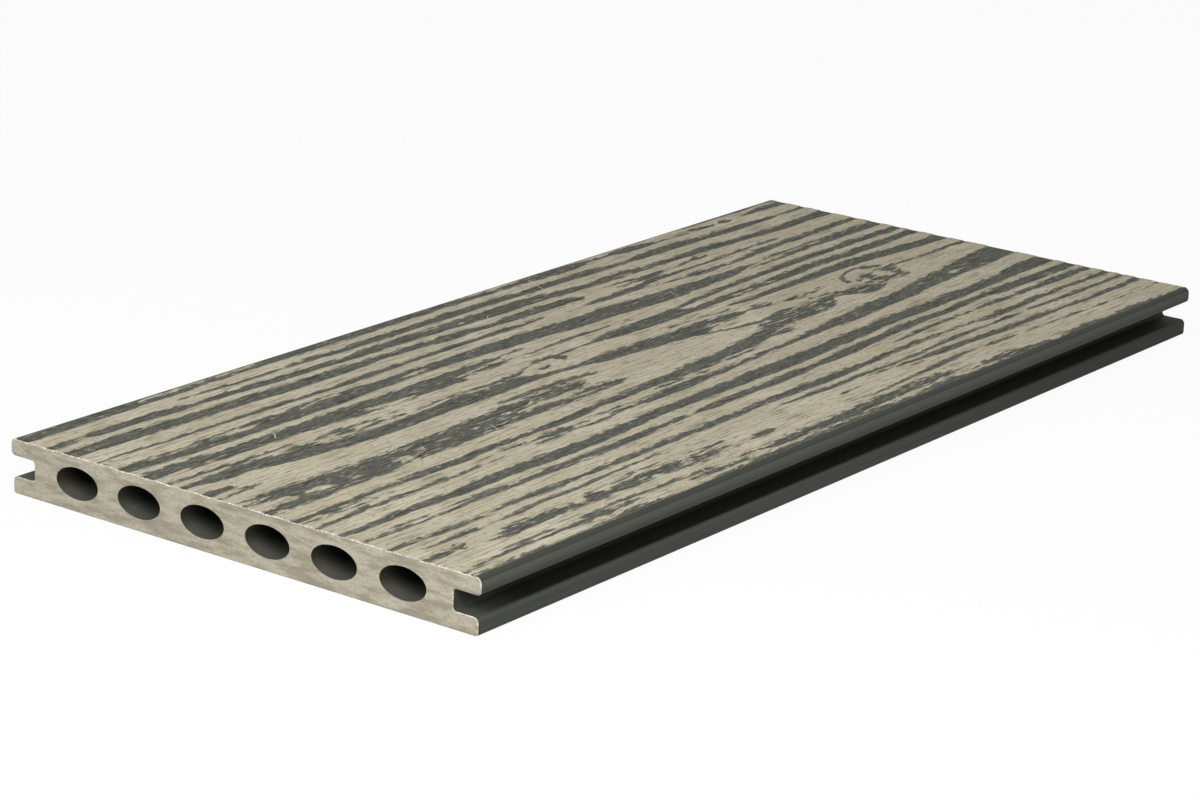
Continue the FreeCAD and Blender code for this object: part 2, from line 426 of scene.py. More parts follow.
    Streak(((378, 102.6, -0.4), (382, 102.4, 2.2), (386, 102.6, 2.4), (389, 101, -0.5)), 1.5),
    Streak(((392, 112, -0.4), (395, 112, 1.6), (399, 111.6, 1.2), (401, 111, -0.5)), 1.3),
    Streak(((389, 94, -0.5), (393, 94.8, 1.8), (397, 96, 2.2), (401, 97.6, 1.6), (404, 98.4, -1)), 1.2),
    Streak(((381, 106.6, -0.4), (385, 107.6, 1.8), (390, 109.6, 1.8), (394, 110.4, 1.2),
        (397, 110.4, -0.4)), 1.4),
    Streak(((17, 112.6, -0.5), (20, 112.8, 1.6), (24, 113.4, 2), (27, 113.6, -0.4)), 1.2),
    Streak(((368, 57, -0.4), (376, 56.8, 0.5), (384, 55.8, 0.8), (400, 55.6, 0.8), (420, 55.4, 1),
        (430, 55.6, -0.3)), 1),
    Streak(((0, 151, 1.1), (10, 151.6, 1.8), (35, 151.4, 1.9), (50, 151.5, 2.5), (80, 151.3, 2.9),
        (110, 151.2, 3.1), (140, 150.9, 3.1), (160, 149.9, 2.8), (175, 149.1, 2.7), (200, 148.8, 3.2),
        (230, 148.1, 3.4), (250, 147.8, 4.1), (280, 147, 3.6), (300, 146.1, 3.7), (320, 145.5, 3.6),
        (345, 144.8, 3.8), (370, 145, 3.1), (385, 143.8, 4.2), (400, 144.5, 3.1), (425, 143.8, 3),
        (440, 142.2, 4.4), (460, 142, 4.4))),
    Streak(((14, 158.6, -0.4), (20, 158.4, 0.6), (27, 158.7, -0.1), (33, 159, 0.5), (38, 159, -0.4),
        (44, 158.5, -0.3), (50, 158.5, 0.7), (76, 158.6, 0.6), (82, 158.8, -0.4)), 0.5),
    Streak(((0, 161.3, 0.8), (20, 161.2, 0.9), (34, 161.4, 0.4), (50, 161.3, 0.8), (75, 161, 1.1),
        (92, 160.4, 1.4), (102, 160.4, 2), (120, 160, 2.2), (140, 159.7, 2), (160, 159.2, 1.8),
        (174, 158.9, 1.5), (183, 159.2, 0.4), (192, 159, 1.6), (205, 158.5, 2), (232, 158.4, 2),
        (252, 157.4, 2.3), (264, 157.2, 1.8), (275, 157.1, 2.5), (300, 156.2, 2.8), (318, 155, 2.3),
        (340, 154.2, 2.3), (365, 154, 2.1), (388, 152.9, 1.8), (402, 153.8, 3), (420, 153.6, 2.8),
        (440, 153.7, 3), (460, 154.2, 2.8))),
    Streak(((306, 162.6, -0.6), (316, 162.8, 0.8), (330, 162.3, 0.9), (350, 161.3, 0.8), (375, 161.1, 0.7),
        (392, 162.2, 1.8), (404, 161.6, 1.1), (416, 162.3, 1.3), (428, 162, 2.4), (445, 161.6, 2),
        (460, 162.2, 2.3)), 0.8),
    Streak(((0, 172.2, 1.1), (15, 171.8, 0.8), (30, 172.8, 1.7), (44, 173, 0.9), (50, 172.4, -0.2),
        (56, 172, 1.1), (66, 171.8, 0.8), (80, 171.5, 1.7), (100, 171.4, 1.2), (120, 171.3, 1.8),
        (145, 170.8, 1.8), (170, 170.9, 1.7), (200, 170.9, 1.7), (214, 170.4, 1.5), (230, 170.4, 2.6),
        (255, 170.3, 2.8), (275, 170.2, 1.8), (300, 169.8, 1.5), (330, 169.6, 1.1), (352, 170.2, 0.7),
        (366, 171.2, 1.9), (388, 171.8, 2.2), (402, 170.8, 1.8), (425, 170.6, 1), (440, 171.2, 1.3),
        (452, 171.6, 2.3), (460, 171.4, 1.4)), 0.9),
    Streak(((9, 179.4, -0.3), (14, 179.2, 0.5), (20, 179.3, 1), (28, 179.3, 1.3), (36, 179.8, 0.8),
        (38, 180, -0.5), (46, 179.8, -0.3), (50, 179.2, 0.7), (58, 178.8, 1.1), (68, 178, 0.9),
        (95, 178, 0.8), (115, 177.6, 0.8), (125, 177.4, 0.6), (138, 177, 0.4), (142, 177, -0.5)), 0.5),
    Streak(((211, 176.2, -0.4), (220, 176.4, 0.9), (232, 177.3, 1.1), (245, 178.2, 1.2), (270, 177.8, 1.3),
        (300, 178, 0.9), (318, 177.6, 0.8), (335, 176.8, 1.2), (355, 176.8, 0.8), (372, 177.2, 1.2),
        (384, 177.4, 0.3), (398, 178, 1.1), (420, 178.2, 1.1), (460, 178.6, 1)), 0.6),
    Streak(((262, 181, -0.6), (275, 180.6, 0.4), (290, 181.2, 0.6), (304, 182.3, 1.3), (320, 183, 2),
        (340, 184.2, 1.8), (362, 185, 1.8), (380, 185.5, 1.4), (400, 185.5, 1.1), (415, 186.4, 1.4),
        (430, 186.5, 1.1), (445, 186.5, 1.6), (460, 186, 1.4))),
    Streak(((238, 185.2, -0.4), (243, 185.2, 0.8), (248, 185.2, -0.5), (288, 184.5, -0.4), (293, 184.4, 0.7),
        (298, 184.5, -0.4)), 0.6),
    Streak(((240, 193.6, -0.2), (248, 193.5, 0.6), (262, 192.8, 0.6), (280, 192.4, 0.9), (300, 191.6, 1.3),
        (316, 191, 1), (325, 191.4, 0.3), (330, 192.2, -0.2), (336, 192.2, 0.8), (350, 192.4, 0.7),
        (357, 192.4, -0.4), (364, 192.9, 0.5), (372, 192.8, 0.5), (378, 193.5, -0.4), (386, 194.2, 0.6),
        (398, 194.2, 0.7), (408, 194.5, -0.3), (414, 194.6, 1.2), (420, 195, -0.5), (430, 195.6, 0.3),
        (438, 195.6, -0.5), (452, 195.8, -0.2), (460, 195.8, 0.9)), 0.6),
    Streak(((0, 186.2, 1.4), (8, 186.6, 1.9), (13, 186.2, 1.5), (15, 186, 0.4), (18, 186, 1.6),
        (23, 185, -0.4)), 1),
    Streak(((27, 189.5, -1), (30, 189.2, 0.5), (36, 189.4, 2.2), (45, 188.4, 3.4), (55, 188.4, 3.1),
        (65, 187.9, 2.7), (72, 188.4, 2.5), (77, 189.4, 2), (81, 189.6, 0.6), (84, 187.6, 3.5),
        (90, 187.6, 4), (94, 188.2, 1.8), (97, 189, 1.6), (104, 189.2, 2.6), (116, 188.8, 3),
        (119, 187.6, 1.4), (123, 189.2, 3.2), (134, 189.2, 3.2), (139, 190.8, 2), (152, 190.6, 2.2),
        (156, 189.6, 0.9), (163, 189.2, 0.7), (166, 189.2, -0.4)), 1.4),
    Streak(((142, 187.6, -0.4), (147, 187, 0.6), (154, 186.4, 1), (160, 185.6, 0.8), (165, 185.8, 0.6),
        (167, 186, -0.4)), 1),
    Streak(((160, 191.8, -0.4), (164, 192, 0.7), (170, 192.2, 0.3), (173, 192.4, -0.4)), 0.8),
    Streak(((170, 191.2, -0.3), (176, 191, 0.6), (184, 190.2, 1.9), (188, 190.2, 1.6),
        (190, 190.4, -0.5)), 0.6),
    Streak(((98, 184, -0.4), (106, 184.4, 0.4), (116, 182.6, 0.7), (128, 182.8, 0.4), (136, 183, -0.5),
        (140, 184.4, -0.3), (144, 184.2, 0.4), (150, 184.2, 0.3), (155, 184.6, -0.4)), 0.8),
    Streak(((24, 198.6, -0.4), (28, 198.2, 0.6), (40, 197.9, 0.7), (50, 197.8, 0.7), (53, 197.8, -0.4))),
    Streak(((0, 202.4, 0.9), (5, 202.2, 0.8), (10, 201.4, 0.7), (14, 201.4, -0.2), (18, 201, 0.8),
        (26, 200.6, 1.1), (36, 200.4, 1), (44, 201, 0.4), (50, 200.6, 0.3), (54, 200.6, -0.4)), 0.9),
    Streak(((51, 200.4, -0.3), (56, 200.3, 1), (64, 200.4, 1.5), (72, 200.2, 1.2), (76, 201, 1.9),
        (80, 200.4, 1), (88, 200.6, 0.6), (96, 200.4, 0.4), (100, 200.4, -0.3)), 1.4),
    Streak(((66, 197.6, -0.2), (70, 197.2, 0.5), (76, 197.2, 0.3), (79, 197.2, -0.3), (83, 197, 0.6),
        (92, 197.2, 0.9), (104, 197.8, 0.7), (118, 198.4, 0.6), (126, 199, 0.8), (138, 199, 1.1),
        (142, 199.4, -0.5))),
    Streak(((120, 202, -0.3), (126, 202, 0.9), (131, 202.2, 0.2), (137, 202.2, 1.7), (142, 202.8, 0.7),
        (149, 202.8, 0.5), (158, 203.2, 0.7), (162, 203.4, -0.3)), 1.3),
    Streak(((151, 199, -0.4), (157, 199.2, 0.7), (163, 199, 0.3), (165, 199.6, -0.3), (169, 201.2, 0.6),
        (176, 201.4, 1.7), (185, 200.8, 2.3), (205, 200.4, 2.3), (222, 200.4, 3.1), (245, 199.8, 3.1),
        (265, 199.8, 2.5), (286, 199.4, 2.2), (296, 200.6, 0.4), (302, 201, -0.8)), 1.2),
    Streak(((296, 203.6, -0.5), (301, 204, 0.8), (306, 204, -0.4), (312, 203.4, 1.2), (322, 204, 2.2),
        (335, 204.6, 2.2), (345, 206, 1.4), (354, 206.8, -0.3)), 1.3),
    Streak(((0, 210, 4), (30, 210, 3.8), (55, 210, 3), (72, 210, 4.6), (90, 210, 5.4), (104, 210, 3.6),
        (120, 210, 2.5), (135, 210, 4.2), (150, 210, 4.2), (165, 210, 5.2), (200, 210, 5), (225, 210, 5.6),
        (250, 210, 4.4), (268, 210, 5), (283, 210, 6.2), (300, 210, 3.4), (318, 210, 4.2), (336, 210, 6),
        (350, 210, 5.2), (360, 210, 3), (370, 210, 5.4), (386, 210, 6), (402, 210, 3.8), (424, 210, 4.6),
        (440, 210, 3), (460, 210, 2.2)), 0.9),
)

GAPS = (
    Streak(((274, 97.2, -0.4), (280, 97.2, 0.7), (286, 98.4, 0.5), (290, 99, -0.4)), 1.2),
    Streak(((284, 92.6, -0.4), (290, 92.6, 0.7), (296, 93.2, 0.4), (300, 93.6, -0.4)), 1.2),
    Streak(((10, 18.6, -0.4), (15, 18.7, 0.6), (21, 18.5, -0.4)), 0.6),
    Streak(((12, 52.2, -0.4), (24, 52.2, 0.3), (36, 52, 0.5), (44, 51.9, 0.2), (52, 51.9, 0.9),
        (66, 52.3, 0.9), (72, 52, -0.5)), 1),
    Streak(((88, 51, -0.4), (94, 50.8, 0.6), (104, 50.2, 0.6), (112, 49.9, 0.9), (118, 49.6, -0.3)), 0.9),
    Streak(((146, 54.2, -0.4), (151, 53.8, 0.9), (158, 53.2, 0.6), (163, 53, -0.4)), 0.9),
    Streak(((24, 68.2, -0.4), (28, 68, 0.7), (33, 68, -0.4))),
    Streak(((203, 36.4, -0.4), (208, 36.2, 0.7), (216, 36.4, -0.4)), 0.8),
    Streak(((320, 78.8, -0.3), (328, 78.6, 0.6), (336, 78.4, -0.3), (344, 77.9, -0.3), (348, 77.7, 0.9),
        (353, 77.5, -0.3)), 0.8),
    Streak(((308, 28.4, -0.4), (316, 28.6, 0.6), (326, 28.8, -0.2), (334, 29, 0.6), (344, 29.2, -0.4)), 0.9),
    Streak(((46, 115.6, -0.4), (49, 115.6, 1.2), (52, 116.2, 0.6), (54, 116, -0.4)), 1.4),
    Streak(((84, 112.6, -0.4), (88, 112, 0.9), (91, 112.2, -0.4), (95, 111.6, -0.4), (99, 111.4, 1),
        (104, 111.8, -0.4)), 1.3),
    Streak(((136, 109.6, -0.4), (140, 109.2, 0.9), (144, 109.4, -0.4)), 1.1),
    Streak(((10, 68.2, -0.5), (16, 68.2, 0.9), (21, 68.2, -0.5)), 0.5),
    Streak(((102, 70.2, -0.5), (110, 70.2, 0.9), (128, 71, 1), (136, 71, -0.5))),
    Streak(((212, 24.8, -0.5), (216, 24.8, 0.8), (220, 24.8, -0.5)), 0.4),
    Streak(((190, 21, -0.3), (198, 21, 0.6), (210, 21, -0.3)), 0.4),
    Streak(((4, 114, -0.6), (10, 114, 2), (18, 114.4, -0.4), (25, 114.6, -0.5), (31, 114.6, 2.2),
        (38, 114.8, -0.5)), 1.3),
    Streak(((69, 114.5, -0.6), (72, 114.2, 2), (75, 115.6, 2.6), (78, 116.4, 1.4), (80, 117, -0.5)), 2.2),
    Streak(((114, 112, -0.5), (118, 111.8, 0.5), (121, 111.8, -0.5), (128, 112.4, -0.5), (132, 112.4, 1.3),
        (135, 112.6, -0.5), (141, 112.3, -0.5), (146, 112, 2), (152, 110.6, 1.1), (165, 110.6, 1.1),
        (176, 111, 0.7), (190, 110.8, 1.4)), 1.1),
    Streak(((170, 115.2, -0.4), (176, 115, 0.8), (182, 115.2, -0.4)), 1),
    Streak(((343, 114.5, -0.5), (347, 115, 2.4), (352, 115, -0.5)), 0.9),
    Streak(((408, 125, -0.5), (415, 124.6, 1.3), (421, 124.5, -0.5), (432, 126.5, -0.5), (436, 126.5, 0.9),
        (440, 126.5, -0.5)), 0.6),
    Streak(((64, 83.6, -0.4), (72, 83.8, 0.8), (96, 84, 0.7), (104, 84, -0.4), (128, 82.8, -0.4),
        (134, 82.8, 0.6), (150, 82.9, 0.6), (156, 84.5, 0.9), (160, 84.5, -0.5)), 0.5),
    Streak(((104, 161, -0.3), (116, 160.8, 0.5), (130, 161, 0.4), (136, 161, -0.3)), 0.3),
    Streak(((428, 154.6, -0.4), (440, 154.6, 0.6), (452, 155, -0.3)), 0.4),
)

SCUFFS = (
    Scuff((61.8, 67.2), (65.0, 64.0), 0.36, 0.85),
    Scuff((65.0, 64.0), (65.6, 61.8), 0.34, 0.7),
    Scuff((121.8, 119.0), (124.2, 114.2), 0.34, 0.8),
    Scuff((275.0, 20.0), (283.0, 4.5), 0.36, 0.75),
    Scuff((227.0, 29.0), (231.0, 25.2), 0.32, 0.7),
    Scuff((178.0, 12.0), (182.0, 8.5), 0.32, 0.6),
    Scuff((305.8, 63.5), (309.0, 56.0), 0.38, 0.75),
    Scuff((268.2, 181.0), (269.2, 190.0), 0.4, 0.7),
    Scuff((222.0, 197.4), (233.0, 190.4), 0.32, 0.6),
    Scuff((234.6, 81.0), (237.4, 77.8), 0.34, 0.8),
    Scuff((80.0, 196.4), (88.0, 191.6), 0.34, 0.6),
    Scuff((134.2, 200.6), (135.4, 197.6), 0.5, 0.8),
    Scuff((178.0, 98.2), (183.6, 95.0), 0.32, 0.6),
    Scuff((250.0, 203.8), (252.0, 202.0), 0.5, 0.7),
    Scuff((78.0, 99.4), (80.4, 97.0), 0.34, 0.6),
    Scuff((8.4, 29.6), (10.4, 30.4), 0.4, 0.6),
    Scuff((198.0, 132.6), (201.6, 130.0), 0.34, 0.6),
)

KNOT = (
    KnotRing((388.0, 103.0), (18.0, 10.6), half_thickness=0.8, arc=(70.0, 178.0), ragged=0.5),
    KnotRing((391.5, 105.6), (8.6, 5.4), half_thickness=1.7, arc=(150.0, 420.0), ragged=1.9),
    KnotRing((389.0, 105.0), (14.0, 8.4), half_thickness=0.5, arc=(170.0, 240.0), ragged=1.2),
)


@dataclass(frozen=True)
class EmbossedGrain:
    """The wood-grain pattern pressed into the walking face, with its lengths in millimetres.

    Attributes:
        streaks: The dark streaks.
        gaps: The light places inside the streaks.
        knot: The rings of the knot.
        recess: How far the streaks lie below the lands.
        edge_width: Width of a streak's sloping edge.
        core_cap: The most that a streak's middle resists the noise.
        wander: How far the whole grain wanders sideways.
        wander_size: Length and width of that wandering.
        wave_size: Length and width of the waves in the streaks' edges.
        wave_share: Share of a streak's raggedness that is waves, the rest being fine tears.
        fibre_size: Length and width of the fine fibres.
        fibre_relief: Height of the fine fibres.
        swell: How much wider than its marks a streak is pressed, at the left and at the right edge.
        swell_zone: Distances from the left edge between which the swell changes.
        calm: Raggedness where no streak is near.
        cap: The most that the field says, either way.
    """

    streaks: tuple[Streak, ...] = STREAKS
    gaps: tuple[Streak, ...] = GAPS
    knot: tuple[KnotRing, ...] = KNOT
    recess: float = 0.22
    edge_width: float = 0.9
    core_cap: float = 1.1
    wander: float = 0.4
    wander_size: Point2 = (30.0, 10.0)
    wave_size: Point2 = (9.0, 1.6)
    wave_share: float = 0.35
    fibre_size: Point2 = (24.0, 1.4)
    fibre_relief: float = 0.03
    swell: Point2 = (0.05, 0.22)
    swell_zone: Point2 = (120.0, 150.0)
    calm: float = 0.5
    cap: float = 2.0

    def field(self, x: np.ndarray, y: np.ndarray) -> tuple[np.ndarray, np.ndarray]:
        """Return how far each point lies inside the dark grain, in millimetres, negative on the lands.

        Args:
            x: Distance from the near end, in millimetres.
            y: Distance from the left edge, in millimetres.

        Returns:
            The signed depth, capped either way, and how ragged the grain is there.
        """
        across = y + self.wander * layered_noise(x, y, self.wander_size, Pattern.WANDER)
        wave = layered_noise(x, y, self.wave_size, Pattern.WAVE)
        dark = np.full_like(x, FAR_OUTSIDE)
        tear = np.full_like(x, self.calm)
        for streak in (*self.streaks, *self.knot):
            inside = np.minimum(streak.depth_inside(x, across), self.core_cap)
            inside = inside + self.wave_share * streak.ragged * wave
            tear = np.where(inside > dark, streak.ragged, tear)
            dark = np.maximum(dark, inside)
        for gap in self.gaps:
            inside = gap.depth_inside(x, across) - self.wave_share * gap.ragged * wave
            tear = np.where(-inside < dark, gap.ragged, tear)
            dark = np.minimum(dark, -inside)
        swell = self.swell[0] + (self.swell[1] - self.swell[0]) * ramp(y, *self.swell_zone)
        return np.clip(dark + swell, -self.cap, self.cap), tear

    def relief(self, field: np.ndarray, x: np.ndarray, y: np.ndarray) -> np.ndarray:
        """Return how far each point lies below the walking plane, in millimetres.

        Args:
            field: The signed depth from field().
            x: Distance from the near end, in millimetres.
            y: Distance from the left edge, in millimetres.

        Returns:
            The drop, zero or more.
        """
        half_edge = self.edge_width / 2.0
        fibre = 0.5 + 0.5 * np.clip(layered_noise(x, y, self.fibre_size, Pattern.FIBRE), -1.0, 1.0)
        return self.recess * ramp(field, -half_edge, half_edge) + self.fibre_relief * fibre


@dataclass(frozen=True)
class BoardSection:
    """The board's cross-section, in millimetres, with y across and z up.

    Attributes:
        width: Overall width.
        thickness: Overall thickness.
        upper_lip: Thickness of the lip above a groove.
        lower_lip: Thickness of the lip below a groove.
        set_back: How far the lower lip stops short of the upper one.
        groove_depth: Depth of a groove from the tip of its upper lip.
        top_radius: Radius of the walking face's long edges.
        under_radius: Radius under the upper lip's tip.
        lower_tip_radius: Radius on top of the lower lip's tip.
        bottom_radius: Radius of the underside's long edges.
        root_radius: Radius of the corners at the back of a groove.
        chamber_count: How many chambers run through the board.
        chamber_size: Width and height of a chamber.
        chamber_pitch: Distance between the middles of two chambers.
        chamber_height: Height of the chambers' middles above the underside.
        arc_steps: Straight pieces in each rounded corner.
        chamber_steps: Straight pieces round a chamber.
    """

    width: float
    thickness: float
    upper_lip: float = 6.2
    lower_lip: float = 6.3
    set_back: float = 1.0
    groove_depth: float = 11.3
    top_radius: float = 2.2
    under_radius: float = 1.7
    lower_tip_radius: float = 1.8
    bottom_radius: float = 1.0
    root_radius: float = 1.3
    chamber_count: int = 6
    chamber_size: Point2 = (19.767, 11.5)
    chamber_pitch: float = 29.167
    chamber_height: float = 10.35
    arc_steps: int = 6
    chamber_steps: int = 64

    @property
    def flat_half(self) -> float:
        """Return half the width of the flat walking face."""
        return self.width / 2.0 - self.top_radius

    def corners(self) -> list[Point3]:
        """Return the outline's corners before they are rounded.

        Returns:
            Each corner (y, z, radius), from the top left edge, under, and up to the top right edge.
        """
        half = self.width / 2.0
        roof = self.thickness - self.upper_lip
        side = [
            (half, self.thickness, self.top_radius),
            (half, roof, self.under_radius),
            (half - self.groove_depth, roof, self.root_radius),
            (half - self.groove_depth, self.lower_lip, self.root_radius),
            (half - self.set_back, self.lower_lip, self.lower_tip_radius),
            (half - self.set_back, 0.0, self.bottom_radius),
        ]
        return side + [(-y, z, radius) for y, z, radius in reversed(side)]

    def profile(self) -> tuple[np.ndarray, np.ndarray]:
        """Return the profile from the walking face's left side round to its right side.

        Returns:
            The points (y, z) and the outward unit normals at them.
        """
        top_middle = np.array((0.0, self.thickness))
        corners = self.corners()
        stops = [top_middle, *(np.array(corner[:2]) for corner in corners), top_middle]
        points: list[np.ndarray] = []
        normals: list[np.ndarray] = []
        for (_, _, radius), before, corner, after in zip(corners, stops, stops[1:], stops[2:]):
            back = (before - corner) / np.linalg.norm(before - corner)
            ahead = (after - corner) / np.linalg.norm(after - corner)
            centre = corner + radius * (back + ahead)
            outward = 1.0 if back[0] * ahead[1] - back[1] * ahead[0] > 0.0 else -1.0
            for step in range(self.arc_steps + 1):
                angle = math.pi / 2.0 * step / self.arc_steps
                towards = -(ahead * math.cos(angle) + back * math.sin(angle))
                points.append(centre + radius * towards)
                normals.append(outward * towards)
        return np.array(points), np.array(normals)

    def chamber_rings(self) -> list[np.ndarray]:
        """Return the chambers' outlines.

        Returns:
            The points (y, z) round each chamber, from the right one to the left one.
        """
        angles = np.linspace(0.0, 2.0 * math.pi, self.chamber_steps, endpoint=False)
        half_width, half_height = self.chamber_size[0] / 2.0, self.chamber_size[1] / 2.0
        rings = []
        for index in range(self.chamber_count):
            middle = (index - (self.chamber_count - 1) / 2.0) * self.chamber_pitch
            rings.append(np.column_stack((
                middle + half_width * np.cos(angles),
                self.chamber_height + half_height * np.sin(angles),
            )))
        return rings


@dataclass(frozen=True)
class BakeMap:
    """Where each kind of surface lies on the bake map, in shares of the map's side.

    Attributes:
        face_foot: Foot of the walking face's field.
        sides_foot: Foot of the field with the sides and the underside.
        sides_height: Height of that field.
        underside_share: How far the wide underside is shrunk in it.
        chambers_foot: Foot of the chambers' field.
        chambers_height: Height of that field.
        chamber_share: How much of its own band a chamber fills.
        ends_foot: Foot of the sawn ends' field.
        end_left: Left edges of the near and of the far end in it.
    """

    face_foot: float = 0.005
    sides_foot: float = 0.47
    sides_height: float = 0.34
    underside_share: float = 0.3
    chambers_foot: float = 0.83
    chambers_height: float = 0.1
    chamber_share: float = 0.92
    ends_foot: float = 0.945
    end_left: Point2 = (0.02, 0.52)


def at_x(x: float, points: np.ndarray) -> np.ndarray:
    """Return section points (y, z) as points (x, y, z) at one place along the board."""
    return np.column_stack((np.full(len(points), x), points))


class MeshDraft:
    """Vertices, faces, surface kinds and bake places of a mesh in the making."""

    def __init__(self) -> None:
        """Start with nothing."""
        self.vertices: list[tuple[float, ...]] = []
        self.faces: list[tuple[int, ...]] = []
        self.kinds: list[int] = []
        self.places: list[Point2] = []

    def add_vertices(self, points: np.ndarray) -> np.ndarray:
        """Add points.

        Args:
            points: One row (x, y, z) for each, in millimetres.

        Returns:
            The new vertices' numbers.
        """
        first = len(self.vertices)
        self.vertices.extend(map(tuple, (points * MM).tolist()))
        return np.arange(first, first + len(points))

    def add_face(self, corners: Iterable[int], kind: Skin, places: Iterable[Point2]) -> None:
        """Add one face.

        Args:
            corners: Its vertices' numbers, anticlockwise seen from outside.
            kind: Its kind of surface.
            places: Where each corner lies on the bake map.
        """
        self.faces.append(tuple(map(int, corners)))
        self.kinds.append(kind.value)
        self.places.extend(places)

    def build(self, name: str) -> bpy.types.Mesh:
        """Return the finished mesh, smooth but for the rims of its sawn ends.

        Args:
            name: The mesh's name.

        Returns:
            The mesh.
        """
        mesh = bpy.data.meshes.new(name)
        mesh.from_pydata(self.vertices, [], self.faces)
        mesh.polygons.foreach_set("material_index", self.kinds)
        mesh.polygons.foreach_set("use_smooth", [True] * len(self.faces))
        layer = mesh.uv_layers.new(name="OFBake")
        layer.data.foreach_set("uv", np.array(self.places, np.float32).ravel())
        self._mark_rims(mesh)
        mesh.update()
        return mesh

    def _mark_rims(self, mesh: bpy.types.Mesh) -> None:
        """Mark as sharp each edge where a sawn or burred face meets another kind.

        Args:
            mesh: The mesh, with its faces in the draft's order.
        """
        loop_edges = np.zeros(len(mesh.loops), np.int64)
        mesh.loops.foreach_get("edge_index", loop_edges)
        totals = np.zeros(len(mesh.polygons), np.int64)
        mesh.polygons.foreach_get("loop_total", totals)
        loop_kinds = np.repeat(np.array(self.kinds), totals)
        lowest = np.full(len(mesh.edges), len(Skin))
        highest = np.full(len(mesh.edges), -1)
        np.minimum.at(lowest, loop_edges, loop_kinds)
        np.maximum.at(highest, loop_edges, loop_kinds)
        sharp = (lowest != highest) & (highest >= Skin.SAWN.value)
        mesh.attributes.new("sharp_edge", "BOOLEAN", "EDGE").data.foreach_set("value", sharp)


def put_in_scene(name: str, data: bpy.types.ID) -> bpy.types.Object:
    """Make an object and link it to the scene.

    Args:
        name: The object's name.
        data: Its mesh, light or camera.

    Returns:
        The object.
    """
    made = bpy.data.objects.new(name, data)
    bpy.context.scene.collection.objects.link(made)
    return made


